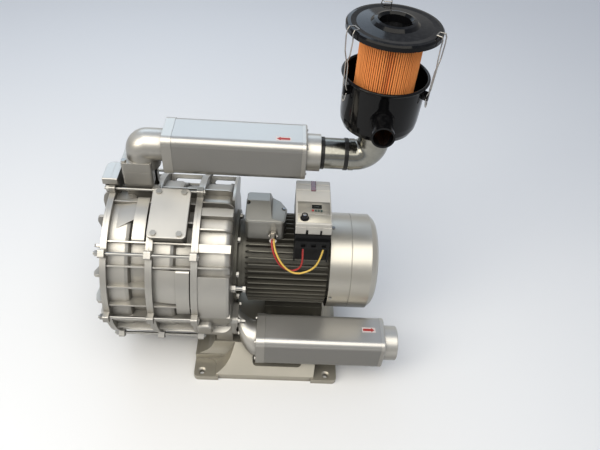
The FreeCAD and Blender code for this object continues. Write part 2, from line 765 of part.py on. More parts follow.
def outlet_duct(joint_x):
    """Smooth outlet cover, the duct below it, its flange and the casting's foot."""
    x0 = joint_x + FLANGE_T
    x1 = DRIVE_END_X
    cover = turned([(x0, RECESS_R), (x0, DUCT_R), (x1 - 12.0, DUCT_R), (x1 - 4.0, DUCT_R - 4.0),
                    (x1 - 1.0, DUCT_R - 12.0), (x1 - 1.0, RECESS_R)], -1.0, 32.0)
    duct = face_of(outlet_outline(x0 + 4.0)).extrude(vec(x1 - x0 - 4.0, 0, 0))
    flange = rounded_box(x1 - 2.0, OUTLET_FLANGE_X,
                         OUTLET_FLANGE_Y - OUTLET_FLANGE_HALF, OUTLET_FLANGE_Y + OUTLET_FLANGE_HALF,
                         OUTLET_FLANGE_Z - OUTLET_FLANGE_HALF, OUTLET_FLANGE_Z + OUTLET_FLANGE_HALF,
                         16.0)
    foot = block(x0 + 42.0, x1, OUTLET_FLANGE_Y - 26.0, -OUTLET_FLANGE_Y + 26.0,
                 DECK_Z, SHAFT_Z - BARREL_R + 74.0)
    pocket = block(x0 + 56.0, x1 + 1.0, -96.0, 96.0, DECK_Z - 1.0, SHAFT_Z - BARREL_R + 75.0)
    clear = bar_x(x0, x1, RECESS_R - 4.0)
    foot = foot.cut(pocket).cut(clear)
    return fuse([cover, duct, flange, foot])


def outlet_way(joint_x):
    """The outlet's inner passage, from the third side channel to the flange."""
    x0 = joint_x + FLANGE_T + 16.0
    passage = face_of(outlet_outline(x0, 9.0)).extrude(vec(DRIVE_END_X - 9.0 - x0, 0, 0))
    bore = bar_x(DRIVE_END_X - 12.0, OUTLET_FLANGE_X + 1.0, OUTLET_FLANGE_HALF - 9.0,
                 OUTLET_FLANGE_Y, OUTLET_FLANGE_Z)
    return passage.fuse(bore)


def transfer_seat(second):
    """The raised pad on the second housing that the transfer cover sits on."""
    half = TRANSFER_LEN / 2 - TRANSFER_INSET
    top = SHAFT_Z + TRANSFER_TOP_R - TRANSFER_T - TRANSFER_STEP
    seat = block(second, TRANSFER_X1 - TRANSFER_INSET, -half, half, SHAFT_Z + RECESS_R - 14.0, top)
    return at_angle(rounded(seat, 10.0, Z), TRANSFER_ANGLE)


def transfer_points(depth=0.0):
    """Centres of the transfer cover's four bolts, at the top of the casing."""
    z = SHAFT_Z + TRANSFER_TOP_R - depth
    half = TRANSFER_LEN / 2 - TRANSFER_BOLT_Y
    xs = (TRANSFER_X0 + TRANSFER_BOLT_X, TRANSFER_X1 - TRANSFER_BOLT_X)
    return [vec(x, y, z) for x in xs for y in (-half, half)]


def transfer_bolt_holes():
    """The threaded holes for the transfer cover's bolts."""
    holes = [bar_z(p.x, p.y, p.z - 34.0, p.z, 5.0) for p in transfer_points()]
    return at_angle(Part.makeCompound(holes), TRANSFER_ANGLE)


def transfer_cover():
    """Flat cover with rounded corners over a stepped box."""
    half = TRANSFER_LEN / 2
    top = SHAFT_Z + TRANSFER_TOP_R
    plate = rounded_box(TRANSFER_X0, TRANSFER_X1, -half, half, top - TRANSFER_T, top,
                        TRANSFER_CORNER, Z)
    plate = plate.makeFillet(2.5, [e for e in plate.Edges if abs(e.CenterOfMass.z - top) < 0.1])
    inner = half - TRANSFER_INSET
    under = rounded_box(JOINTS[1] + 0.5, TRANSFER_X1 - TRANSFER_INSET, -inner, inner,
                        top - TRANSFER_T - TRANSFER_STEP, top - TRANSFER_T, 10.0, Z)
    cover = plate.fuse(under)
    cover = drill(cover, transfer_points(), Z, 5.2, 20.0)
    return at_angle(cover, TRANSFER_ANGLE)


def fastener_nodes():
    """Tie rods with their nuts, and the hexagon bolts of the ports and the motor."""
    nodes = {}
    left = JOINTS[0] - COVER_FLANGE_T
    right = JOINTS[2] + FLANGE_T
    top = SHAFT_Z + TIE_CIRCLE_R
    rod = bar_x(left - NUT_T - ROD_END, right + DRIVE_NUT_T + DRIVE_ROD_END, TIE_ROD_R, 0, top)
    nuts = []
    for angle in TIE_ANGLES:
        bore = TIE_ROD_R + 0.05
        nuts.append(at_angle(hexagon(vec(left - NUT_T, 0, top), X, NUT_AF, NUT_T, bore), angle))
        jam = hexagon(vec(right, 0, top), X, NUT_AF, DRIVE_NUT_T, bore)
        nuts.append(at_angle(jam, angle))
    nodes["tie_rods"] = group([at_angle(rod, a) for a in TIE_ANGLES] + nuts)

    bolts = []
    for p in transfer_points():
        one = bolt(p, Z, 16.0, 6.5, 4.9, 30.0)
        bolts.append(at_angle(one, TRANSFER_ANGLE))
    for p in port_points():
        bolts.append(bolt(p, Z, 13.0, 6.5, 4.0, 40.0))
    for p in outlet_flange_points():
        bolts.append(bolt(p, X, 13.0, 6.5, 4.0, 22.0))
    for p in plate_bolt_points():
        bolts.append(bolt(p, vec(-1, 0, 0), 10.0, 5.0, 3.0, 20.0))
    nodes["hex_bolts"] = group(bolts + motor_bolts() + [long_stud()])
    return nodes


def port_points():
    """Bolt centres on the inlet elbow's flange."""
    reach = PORT_HALF_Y - 10.0
    return [vec(PORT_X0 + 9.0, INLET_Y + side * reach, PORT_TOP_Z) for side in (-1, 1)]


def outlet_flange_points():
    """Bolt centres on the outlet connector's first flange."""
    reach = OUTLET_FLANGE_HALF - 8.0
    x = OUTLET_FLANGE_X + CONNECTOR_FLANGE_T
    return [vec(x, OUTLET_FLANGE_Y + dy, OUTLET_FLANGE_Z + dz)
            for dy in (-reach, reach) for dz in (-reach, reach)]


def bent_pipe(start, corner, end, bend, r, bore):
    """A pipe round one corner: straight, quarter turn, straight."""
    first = (corner - start).normalize()
    last = (end - corner).normalize()
    a = corner - first * bend
    b = corner + last * bend
    centre = a + last * bend
    middle = centre + (corner - centre).normalize() * bend
    path = Part.Wire([Part.LineSegment(start, a).toShape(), Part.Arc(a, middle, b).toShape(),
                      Part.LineSegment(b, end).toShape()])
    outer = path.makePipeShell([Part.Wire(Part.makeCircle(r, start, first))], True, False)
    if not bore:
        return outer
    inner = path.makePipeShell([Part.Wire(Part.makeCircle(bore, start, first))], True, False)
    return outer.cut(inner)


def short_elbow(r):
    """The inlet elbow's form: two round legs joined by a tight quarter turn."""
    low = INLET_Z - ELBOW_TURN
    right = ELBOW_X + ELBOW_TURN
    upright = bar_z(ELBOW_X, INLET_Y, PORT_SPLIT_Z, low, r)
    level = bar_x(right, INLET_BOX_X0, r, INLET_Y, INLET_Z)
    disc = Part.Face(Part.Wire(Part.makeCircle(r, vec(ELBOW_X, INLET_Y, low), Z)))
    keep = Part.makePlane(3 * r, 4 * r, vec(right - 3 * r, INLET_Y - 2 * r, low), Z)
    turn = disc.common(keep).Faces[0].revolve(vec(right, INLET_Y, low), Y, 90.0)
    return fuse([upright, turn, level])


def silencer(x0, length, y, z):
    """End plate, box and end cap of one silencer, with its foam liner.

    Returns the four shapes in that order.
    """
    x1 = x0 + PLATE_T
    x3 = x0 + length
    x2 = x3 - CAP_T
    plate = square_bar(x0, x1, y, z, BOX_S + 2 * PLATE_LIP, BOX_CORNER)
    spigot = square_bar(x1, x1 + 6.0, y, z, BOX_S - 2 * BOX_WALL - 1.0, BOX_CORNER - BOX_WALL)
    plate = plate.fuse(spigot).cut(bar_x(x0, x1 + 7.0, BOX_BORE_R, y, z))
    body = square_bar(x1, x2, y, z, BOX_S, BOX_CORNER)
    inner = square_bar(x1 - 1.0, x2 + 1.0, y, z, BOX_S - 2 * BOX_WALL, BOX_CORNER - BOX_WALL)
    body = body.cut(inner)
    cap = square_bar(x2, x3, y, z, BOX_S + PLATE_LIP, BOX_CORNER)
    cap = cap.makeFillet(5.0, [e for e in cap.Edges if abs(e.CenterOfMass.x - x3) < 0.1])
    liner = square_bar(x1 + 6.5, x2 - 0.5, y, z, BOX_S - 2 * BOX_WALL - 2 * LINER_GAP,
                       BOX_CORNER - BOX_WALL)
    liner = liner.cut(bar_x(x1, x2, BOX_BORE_R, y, z))
    return plate, body, cap, liner


def piping_nodes():
    """Inlet elbow, both silencers and the outlet connector."""
    nodes = {}
    y0 = INLET_Y - PORT_HALF_Y
    y1 = INLET_Y + PORT_HALF_Y
    flange = rounded_box(PORT_X0, PORT_X1, y0, y1, PORT_SPLIT_Z, PORT_TOP_Z, 7.0, Z)
    bore = ELBOW_R - ELBOW_WALL
    pipe = short_elbow(ELBOW_R)
    way = short_elbow(bore)
    elbow = fuse([flange, pipe]).cut(way)
    nodes["inlet_elbow"] = drill(elbow, port_points(), Z, 4.2, 42.0)

    plate, body, cap, liner = silencer(INLET_BOX_X0, INLET_BOX_LEN, INLET_Y, INLET_Z)
    end = INLET_BOX_X0 + INLET_BOX_LEN
    collar = bar_x(end - 1.0, end + COLLAR_LEN, COLLAR_R, INLET_Y, INLET_Z)
    cap = cap.fuse(collar)
    cap = cap.cut(bar_x(end - CAP_T, end + COLLAR_LEN - 12.0, BOX_BORE_R, INLET_Y, INLET_Z))
    cap = cap.cut(bar_x(end + COLLAR_LEN - 12.0, end + COLLAR_LEN, SLEEVE_R + 0.2, INLET_Y, INLET_Z))
    nodes["inlet_end_plate"] = plate
    nodes["inlet_silencer_body"] = body
    nodes["inlet_end_cap"] = cap
    liners = [liner]

    plate, body, cap, liner = silencer(OUTLET_BOX_X0, OUTLET_BOX_LEN, OUTLET_Y, OUTLET_Z)
    end = OUTLET_BOX_X0 + OUTLET_BOX_LEN
    pipe = bar_x(end - 1.0, end + OUTLET_PIPE_LEN, OUTLET_PIPE_R, OUTLET_Y, OUTLET_Z)
    pipe = pipe.makeFillet(3.0, [e for e in pipe.Edges
                                 if abs(e.CenterOfMass.x - end - OUTLET_PIPE_LEN) < 0.1])
    cap = cap.fuse(pipe)
    cap = cap.cut(bar_x(end - CAP_T, end + 2.0, BOX_BORE_R, OUTLET_Y, OUTLET_Z))
    cap = cap.cut(bar_x(end + 2.0, end + OUTLET_PIPE_LEN, OUTLET_PIPE_R - 5.0, OUTLET_Y, OUTLET_Z))
    nodes["outlet_end_plate"] = drill(plate, plate_bolt_points(), vec(-1, 0, 0), 3.2, 21.0)
    nodes["outlet_silencer_body"] = body
    nodes["outlet_end_cap"] = cap
    liners.append(liner)
    nodes["silencer_liners"] = group(liners)
    nodes["outlet_connector"] = outlet_connector()
    return nodes


def outlet_connector():
    """The offset casting between the outlet flange and the lower silencer."""
    x0 = OUTLET_FLANGE_X
    x1 = x0 + CONNECTOR_FLANGE_T
    x2 = OUTLET_BOX_X0
    y0, z0 = OUTLET_FLANGE_Y, OUTLET_FLANGE_Z
    half = OUTLET_FLANGE_HALF
    flange = rounded_box(x0, x1, y0 - half, y0 + half, z0 - half, z0 + half, 16.0)

    outer = connector_skin(x1 - 2.0, x2, half - 4.0, BOX_S / 2 - 5.0)
    inner = connector_skin(x0 - 2.0, x2 + 2.0, half - 10.0, BOX_BORE_R)
    body = flange.fuse(outer)
    heads = [Part.makeCylinder(9.0, 24.0, p, X) for p in outlet_flange_points()]
    heads += [Part.makeCylinder(8.0, 16.0, p, vec(-1, 0, 0)) for p in plate_bolt_points()]
    body = body.cut(Part.makeCompound(heads)).cut(inner)
    return drill(body, outlet_flange_points(), X, 4.2, 20.0)


def connector_skin(x0, x1, r0, r1):
    """A round duct that bulges early from the flange's axis over to the silencer's."""
    rings = []
    for share in (0.0, 0.2, 0.6, 1.0):
        shift = math.sin(share * math.pi / 2) ** 0.8
        centre = vec(x0 + (x1 - x0) * share, OUTLET_FLANGE_Y + (OUTLET_Y - OUTLET_FLANGE_Y) * shift,
                     OUTLET_FLANGE_Z + (OUTLET_Z - OUTLET_FLANGE_Z) * shift)
        rings.append(Part.Wire(Part.makeCircle(r0 + (r1 - r0) * shift, centre, X)))
    return Part.makeLoft(rings, True, False)


def plate_bolt_points():
    """Bolt centres on the outlet silencer's end plate, seen from the connector."""
    reach = BOX_S / 2 - 17.0
    return [vec(OUTLET_BOX_X0, OUTLET_Y + dy, OUTLET_Z + dz)
            for dy in (-reach, reach) for dz in (-reach, reach)]


def latch_offset(angle, radius):
    """A vector from the filter's axis, out at an angle."""
    a = math.radians(angle)
    return vec(radius * math.cos(a), radius * math.sin(a), 0)


def filter_nodes():
    """Sleeve, bands, filter elbow, canister, element, lid and latches."""
    nodes = {}
    sleeve = bar_x(SLEEVE_X0 - 11.0, SLEEVE_X1 + 12.0, SLEEVE_R, INLET_Y, INLET_Z)
    sleeve = sleeve.cut(bar_x(SLEEVE_X0 - 13.0, SLEEVE_X1 + 13.0, SLEEVE_R - SLEEVE_WALL,
                              INLET_Y, INLET_Z))
    nodes["filter_sleeve"] = sleeve
    bands = []
    for x in BAND_XS:
        band = bar_x(x, x + BAND_W, SLEEVE_R + BAND_T, INLET_Y, INLET_Z)
        band = band.makeFillet(0.8, [e for e in band.Edges if e.Curve.TypeId == "Part::GeomCircle"])
        ear = block(x + 1.5, x + BAND_W - 1.5, INLET_Y + SLEEVE_R + BAND_T - 3.0,
                    INLET_Y + SLEEVE_R + BAND_T + 9.0, INLET_Z - 9.0, INLET_Z + 9.0)
        band = band.fuse(ear)
        bands.append(band.cut(bar_x(x - 1.0, x + BAND_W + 1.0, SLEEVE_R + 0.1, INLET_Y, INLET_Z)))
    nodes["sleeve_bands"] = group(bands)
    nodes["filter_elbow"] = filter_elbow()
    nodes["filter_canister"] = canister()
    nodes["filter_element"] = element()
    nodes["filter_lid"] = lid()
    for name, angle in zip(("latch_left", "latch_right", "latch_back"), LATCH_ANGLES):
        nodes[name] = latch(angle)
        nodes[name.replace("latch", "lever")] = lever(angle)
    return nodes


def filter_elbow():
    """The elbow from the sleeve up to the canister, with a socket and a flange."""
    start = vec(SLEEVE_X1 + 12.5, FILTER_Y, INLET_Z)
    corner = vec(FILTER_X, FILTER_Y, INLET_Z)
    end = vec(FILTER_X, FILTER_Y, CANISTER_Z0)
    bend = FILTER_X - SLEEVE_X1 - 15.0
    outer = bent_pipe(start, corner, end, bend, FILTER_PIPE_R, 0.0)
    socket = bar_x(SLEEVE_X1, SLEEVE_X1 + 14.0, FILTER_PIPE_R + 2.0, FILTER_Y, INLET_Z)
    flange = bar_z(FILTER_X, FILTER_Y, CANISTER_Z0 - 5.0, CANISTER_Z0, FILTER_PIPE_R + 16.0)
    way = bent_pipe(start, corner, end, bend, FILTER_PIPE_R - 4.0, 0.0)
    elbow = fuse([outer, socket, flange]).cut(way)
    return elbow.cut(bar_x(SLEEVE_X1 - 1.0, SLEEVE_X1 + 12.2, SLEEVE_R + 0.2, FILTER_Y, INLET_Z))


def canister():
    """Pressed steel pot with a rolled rim, an inlet nozzle and three latch lugs."""
    r = CANISTER_R
    t = CANISTER_WALL
    z0 = CANISTER_Z0
    z1 = CANISTER_Z1
    foot = CANISTER_FOOT_R
    knee = CANISTER_ROUND
    outer = turned_z([(0, z0), (foot, z0), (foot + (r - foot) * 0.62, z0 + knee * 0.28),
                      (r - 6.0, z0 + knee * 0.72), (r - CANISTER_TAPER, z0 + knee + 8.0), (r, z1), (0, z1)],
                     FILTER_X, FILTER_Y)
    inner = turned_z([(0, z0 + t), (foot - 1.0, z0 + t),
                      (foot + (r - foot) * 0.62 - t, z0 + knee * 0.28 + t),
                      (r - 6.0 - t, z0 + knee * 0.72 + t), (r - CANISTER_TAPER - t, z0 + knee + 8.0),
                      (r - t, z1), (r - t, z1 + 1.0),
                      (0, z1 + 1.0)], FILTER_X, FILTER_Y)
    rim = Part.makeTorus(r + RIM_ROLL_R - t, RIM_ROLL_R, vec(FILTER_X, FILTER_Y, z1), Z)
    swing = math.radians(NOZZLE_SWING)
    way = vec(-math.sin(swing), -math.cos(swing), 0)
    axis = vec(FILTER_X, FILTER_Y, NOZZLE_Z)
    nozzle = Part.makeCylinder(NOZZLE_R, NOZZLE_LEN - r + 14.0, axis + way * (r - 14.0), way)
    lip = Part.makeCylinder(NOZZLE_LIP_R, NOZZLE_LIP, axis + way * (NOZZLE_LEN - NOZZLE_LIP), way)
    collar = Part.makeCylinder(NOZZLE_LIP_R + 2.0, 18.0, axis + way * (r - 14.0), way)
    bore = Part.makeCylinder(NOZZLE_R - NOZZLE_WALL, NOZZLE_LEN, axis + way * (r - 26.0), way)
    lugs_ = []
    for angle in LATCH_ANGLES:
        lug = block(r - 4.0, LATCH_LUG_R + 3.0, -3.6, 3.6, LATCH_LUG_Z - LEVER_DROP - 6.0,
                    LATCH_LUG_Z + 8.0)
        lug.rotate(vec(0, 0, 0), Z, angle)
        lug.translate(vec(FILTER_X, FILTER_Y, 0))
        lugs_.append(lug)
    pot = fuse([outer, rim, nozzle, lip, collar] + lugs_)
    pot = pot.cut(inner).cut(bore)
    pins = []
    for angle in LATCH_ANGLES:
        p = vec(FILTER_X, FILTER_Y, LATCH_LUG_Z) + latch_offset(angle, LATCH_LUG_R - 2.0)
        along = latch_offset(angle + 90.0, 1.0)
        for drop in (0.0, LEVER_DROP):
            start = p - along * 15.0 - vec(0, 0, drop)
            pins.append(Part.makeCylinder(LATCH_WIRE_R + 0.4, 30.0, start, along))
    pot = pot.cut(Part.makeCompound(pins))
    return pot.cut(bar_z(FILTER_X, FILTER_Y, z0 - 1.0, z0 + t + 1.0, FILTER_PIPE_R - 4.0))


def element():
    """Pleated paper element with its end discs."""
    top = LID_TOP_Z - LID_T - 10.0
    low = ELEMENT_SEAT_Z
    seat = CANISTER_Z0 + CANISTER_WALL
    profile = [(ELEMENT_CORE_R, seat), (ELEMENT_CORE_R + 14.0, seat), (ELEMENT_CORE_R + 14.0, low),
               (ELEMENT_R + 1.5, low), (ELEMENT_R + 1.5, low + 10.0), (ELEMENT_R, low + 10.0),
               (ELEMENT_R, top - 8.0), (ELEMENT_R + 1.5, top - 8.0), (ELEMENT_R + 1.5, top),
               (ELEMENT_CORE_R, top)]
    return turned_z(profile, FILTER_X, FILTER_Y)


def lid():
    """Pressed lid with a rolled skirt, a raised ring and a recessed centre."""
    top = LID_TOP_Z
    t = LID_T
    hole = LID_HOLE_R
    rise = LID_RISE
    skirt = LID_SKIRT
    outer = LID_R
    profile = [(0, top - 14.0), (hole - 6.0, top - 14.0), (hole - 2.0, top + rise - 6.0),
               (hole + 4.0, top + rise), (hole + 12.0, top + rise - 2.0), (hole + 20.0, top + 1.0),
               (outer - 26.0, top - 2.0), (outer - 12.0, top - 1.0), (outer - 4.0, top - 2.0),
               (outer, top - 6.0), (outer, top - skirt), (outer - t - 1.0, top - skirt),
               (outer - t - 1.0, top - 8.0), (outer - 12.0, top - 1.0 - t - 1.5),
               (ELEMENT_R + 4.0, top - 10.0 - t + LID_GAP),
               (hole + 14.0, top - 10.0 - t + LID_GAP), (hole, top - 14.0 - t + 4.0 + LID_GAP),
               (hole - 3.0, top - 14.0 - t), (0, top - 14.0 - t)]
    return turned_z(profile, FILTER_X, FILTER_Y)


def wire_run(points):
    """Round wire along straight runs, with a ball at every corner."""
    parts = [Part.makeSphere(LATCH_WIRE_R, points[0])]
    for a, b in zip(points, points[1:]):
        parts.append(Part.makeCylinder(LATCH_WIRE_R, (b - a).Length, a, b - a))
        parts.append(Part.makeSphere(LATCH_WIRE_R, b))
    return parts


def latch(angle):
    """One wire latch: a hook over the lid's rim and a waisted loop down to the lug."""
    out = LATCH_LUG_R - 2.0
    half = LATCH_W / 2
    wide = LATCH_BULGE_W / 2
    top = LID_TOP_Z + LATCH_TOP_GAP
    side = [vec(out, half, LATCH_LUG_Z), vec(out + 4.0, half, LATCH_LUG_Z + 12.0),
            vec(out + 6.0, half, LATCH_EYE_Z - 10.0), vec(out + 7.0, 3.0, LATCH_EYE_Z),
            vec(out + 8.0, wide - 4.0, LATCH_EYE_Z + 22.0), vec(out + 8.0, wide, top - 24.0),
            vec(LID_R + 7.0, wide - 3.0, top - 8.0), vec(LID_R + 3.0, wide - 4.0, top),
            vec(LID_R - 11.0, wide - 6.0, top)]
    other = [vec(p.x, -p.y, p.z) for p in side]
    return placed_wire(fuse(wire_run(side + other[::-1] + [side[0]])), angle)


def lever(angle):
    """One wire lever that hangs from the lug, below its latch."""
    out = LATCH_LUG_R - 2.0
    half = LATCH_W / 2
    pin_z = LATCH_LUG_Z - LEVER_DROP
    side = [vec(out, half, pin_z), vec(out + 2.0, half, pin_z - LEVER_LEN / 2),
            vec(out + 3.0, half - 2.0, pin_z - LEVER_LEN + 5.0)]
    other = [vec(p.x, -p.y, p.z) for p in side]
    tip = vec(out + 3.0, 0, pin_z - LEVER_LEN)
    return placed_wire(fuse(wire_run(side + [tip] + other[::-1] + [side[0]])), angle)


def placed_wire(wire, angle):
    """Turn a wire piece about the filter's axis, from the +X side to its own place."""
    wire.rotate(vec(0, 0, 0), Z, angle)
    wire.translate(vec(FILTER_X, FILTER_Y, 0))
    return wire


def rotor_nodes():
    """Shaft, impellers, rotor core and cooling fan: everything that spins."""
    nodes = {}
    left = HUB_X + 8.0
    first = JOINTS[0]
    nodes["main_shaft"] = turned([
        (left, 0), (left, SHAFT_SEAT_R), (first - 2.0, SHAFT_SEAT_R), (first - 2.0, SHAFT_R),
        (STACK_X0 - 21.0, SHAFT_R), (STACK_X0 - 21.0, SHAFT_R + 6.0), (STACK_X1 + 14.0, SHAFT_R + 6.0),
        (STACK_X1 + 14.0, SHAFT_SEAT_R), (MOTOR_X1 + 4.0, SHAFT_SEAT_R),
        (MOTOR_X1 + 4.0, 19.0), (FAN_X1 - 6.0, 19.0), (FAN_X1 - 6.0, 0)])
    for n, joint in enumerate(JOINTS):
        nodes["impeller_%d" % (n + 1)] = impeller(joint + IMPELLER_X)
    core = bar_x(STACK_X0, STACK_X1, STATOR_BORE_R - AIR_GAP).cut(
        bar_x(STACK_X0 - 1.0, STACK_X1 + 1.0, SHAFT_R + 6.0 + SEAT_GAP))
    nodes["rotor_core"] = core
    nodes["cooling_fan"] = cooling_fan()
    return nodes


def impeller(joint):
    """A side-channel impeller: hub, web and a ring of straight vanes on both sides."""
    half = IMPELLER_HALF
    web = IMPELLER_WEB
    disc = turned([
        (joint - half, SHAFT_R + RUNNING_GAP), (joint - half, IMPELLER_HUB_R),
        (joint - web - 3.0, IMPELLER_HUB_R + 8.0), (joint - web - 3.0, VANE_R0 - 10.0),
        (joint - half, VANE_R0 - 6.0), (joint - half, VANE_R0),
        (joint - half + VANE_DEPTH, VANE_R0 + 14.0), (joint - half + VANE_DEPTH, IMPELLER_R),
        (joint + half - VANE_DEPTH, IMPELLER_R), (joint + half - VANE_DEPTH, VANE_R0 + 14.0),
        (joint + half, VANE_R0), (joint + half, VANE_R0 - 6.0),
        (joint + web + 3.0, VANE_R0 - 10.0), (joint + web + 3.0, IMPELLER_HUB_R + 8.0),
        (joint + half, IMPELLER_HUB_R), (joint + half, SHAFT_R + RUNNING_GAP)])
    vane = block(joint - half, joint + half, -VANE_T / 2, VANE_T / 2,
                 SHAFT_Z + VANE_R0 - 2.0, SHAFT_Z + IMPELLER_R - 1.0)
    step = 360.0 / VANE_COUNT
    return fuse([disc] + [at_angle(vane, step * n) for n in range(VANE_COUNT)])


def cooling_fan():
    """Radial fan with straight blades behind the motor."""
    hub = turned([(FAN_X0, 19.0 + RUNNING_GAP), (FAN_X0, 44.0), (FAN_X0 + 6.0, FAN_R - 4.0),
                  (FAN_X0 + 10.0, FAN_R - 4.0), (FAN_X0 + 12.0, 44.0), (FAN_X1 - 10.0, 30.0),
                  (FAN_X1 - 10.0, 19.0 + RUNNING_GAP)])
    blade = block(FAN_X0 + 4.0, FAN_X1, -2.0, 2.0, SHAFT_Z + 28.0, SHAFT_Z + FAN_R)
    step = 360.0 / FAN_BLADES
    return fuse([hub] + [at_angle(blade, step * n) for n in range(FAN_BLADES)])


def motor_nodes():
    """Flange, finned frame, stator, fan end shield, cowl, foot, bearings and seals."""
    nodes = {}
    x0 = MOTOR_X0
    x1 = MOTOR_X1
    flange = turned([
        (DRIVE_END_X - 4.0, SHAFT_R + SHAFT_GAP), (DRIVE_END_X - 4.0, MOTOR_FLANGE_R),
        (DRIVE_END_X + 10.0, MOTOR_FLANGE_R), (DRIVE_END_X + 10.0, FRAME_R + 6.0),
        (DRIVE_END_X + 14.0, FRAME_R + 2.0),
        (x0, FRAME_R + 2.0), (x0, FRAME_BORE_R), (x0 - 8.0, FRAME_BORE_R - 10.0),
        (x0 - 8.0, BEARING_R + 12.0), (x0 + 14.0, BEARING_R + 12.0),
        (x0 + 14.0, BEARING_R + SEAT_GAP), (x0 - 10.0, BEARING_R + SEAT_GAP),
        (x0 - 10.0, SHAFT_R + SHAFT_GAP)])
    nodes["motor_flange"] = drill(flange, flange_points(), X, 5.2, 30.0)
    nodes["motor_housing"] = motor_housing()
    windings = turned([
        (STACK_X0, STATOR_BORE_R), (STACK_X0, STATOR_BORE_R + 10.0),
        (STACK_X0 - 22.0, STATOR_BORE_R + 12.0), (STACK_X0 - 22.0, FRAME_BORE_R - 12.0),
        (STACK_X0, FRAME_BORE_R - 8.0), (STACK_X0, FRAME_BORE_R - SEAT_GAP),
        (STACK_X1, FRAME_BORE_R - SEAT_GAP), (STACK_X1, FRAME_BORE_R - 8.0),
        (STACK_X1 + 22.0, FRAME_BORE_R - 12.0), (STACK_X1 + 22.0, STATOR_BORE_R + 12.0),
        (STACK_X1, STATOR_BORE_R + 10.0), (STACK_X1, STATOR_BORE_R)])
    nodes["stator_core"] = windings
    shield = turned([
        (x1 - 16.0, BEARING_R + SEAT_GAP), (x1 - 16.0, BEARING_R + 12.0), (x1, BEARING_R + 16.0),
        (x1, FRAME_R + 8.0), (x1 + 10.0, FRAME_R + 8.0), (x1 + 12.0, BEARING_R),
        (x1 + 12.0, SHAFT_SEAT_R + SHAFT_GAP), (x1 + 6.0, SHAFT_SEAT_R + SHAFT_GAP),
        (x1 + 6.0, BEARING_R + SEAT_GAP)])
    pad = block(x1 + 1.0, x1 + 10.0, -9.0, 9.0, SHAFT_Z + FRAME_R, SHAFT_Z + COWL_R - COWL_WALL - 0.3)
    nodes["fan_end_shield"] = fuse([shield] + [at_angle(pad, a) for a in COWL_SCREWS])
    nodes["fan_cowl"] = fan_cowl()
    nodes["motor_foot"] = motor_foot()
    rings = [bearing(HUB_X + 7.0, SHAFT_SEAT_R), bearing(x0 - 9.0, SHAFT_R),
             bearing(x1 - 16.0, SHAFT_SEAT_R)]
    seal = turned([(DRIVE_END_X - 9.0, SHAFT_R + RUNNING_GAP), (DRIVE_END_X - 9.0, SHAFT_R + 14.0),
                   (DRIVE_END_X - 4.2, SHAFT_R + 14.0), (DRIVE_END_X - 4.2, SHAFT_R + RUNNING_GAP)])
    nodes["bearings"] = group(rings + [seal])
    return nodes


def bearing(x0, shaft_r):
    """A ball bearing's outline ring between shaft and seat."""
    return turned([(x0, shaft_r + RUNNING_GAP), (x0, BEARING_R), (x0 + BEARING_W, BEARING_R),
                   (x0 + BEARING_W, shaft_r + RUNNING_GAP)])


def flange_points():
    """Bolt centres on the motor's flange."""
    r = MOTOR_FLANGE_R - 13.0
    points = []
    for n in range(8):
        a = math.radians(22.5 + 45.0 * n)
        points.append(vec(DRIVE_END_X + 10.0, -r * math.cos(a), SHAFT_Z + r * math.sin(a)))
    return points


def foot_points():
    """Bolt centres on the motor support block."""
    xs = (FOOT_X0 + 18.0, FOOT_X1 - 18.0)
    ys = (-FOOT_HALF_Y - 11.0, FOOT_HALF_Y + 11.0)
    return [vec(x, y, DECK_Z + 12.0) for x in xs for y in ys]


def stud_point():
    """Where the long stud stands on the drive housing's end wall."""
    a = math.radians(STUD_ANGLE)
    return vec(DRIVE_END_X, -STUD_R * math.cos(a), SHAFT_Z + STUD_R * math.sin(a))


def long_stud():
    """A stud with a nut at each end of its sleeve, beside the motor's flange."""
    p = stud_point()
    tip = p + X * STUD_LEN
    return fuse([bolt(p, X, 22.0, 12.0, 5.0, 18.0), Part.makeCylinder(7.0, STUD_LEN, p, X),
                 hexagon(tip, X, 19.0, 9.0)])


def motor_bolts():
    """Hexagon bolts of the motor's flange and foot."""
    bolts = [bolt(p, X, 17.0, 8.0, 5.0, 26.0) for p in flange_points()]
    return bolts + [bolt(p, Z, 17.0, 8.0, 5.0, 24.0) for p in foot_points()]


def motor_housing():
    """The frame's barrel with radial fins, box seat and foot pad."""
    x0 = MOTOR_X0
    x1 = MOTOR_X1
    barrel = bar_x(x0, x1, FRAME_R)
    parts = [barrel]
    step = 360.0 / FIN_COUNT
    fin = face_of([vec(x0 + 10.0, 0, SHAFT_Z + FRAME_R - 2.0), vec(x0 + 22.0, 0, SHAFT_Z + FIN_R),
                   vec(x1 - 6.0, 0, SHAFT_Z + FIN_R), vec(x1 - 2.0, 0, SHAFT_Z + FRAME_R - 2.0)])
    fin.translate(vec(0, -FIN_T / 2, 0))
    fin = fin.extrude(vec(0, FIN_T, 0))
    for n in range(FIN_COUNT):
        angle = step * (n + 0.5)
        if abs(angle - 270.0) > 34.0:
            parts.append(at_angle(fin, angle))
    parts.append(block(FOOT_X0, FOOT_X1 - 4.0, -72.0, 72.0, FOOT_TOP_Z, FOOT_TOP_Z + 60.0))
    parts.append(block(BOX_X0 + 8.0, BOX_X1 - 8.0, BOX_Y0 + 8.0, BOX_Y1 - 8.0,
                       SHAFT_Z + FRAME_R - 20.0, BOX_Z0))
    parts.append(block(INV_X0 + 10.0, INV_X1 - 10.0, -34.0, 34.0,
                       SHAFT_Z + FRAME_R - 10.0, INV_Z0 - 6.0))
    frame = fuse(parts)
    room = block(BOX_X0 - 1.0, BOX_X1 + 8.0, BOX_Y0 - 1.0, BOX_Y1 + 1.0, BOX_Z0, REACH)
    return frame.cut(room).cut(bar_x(x0 - 1.0, x1 + 1.0, FRAME_BORE_R))


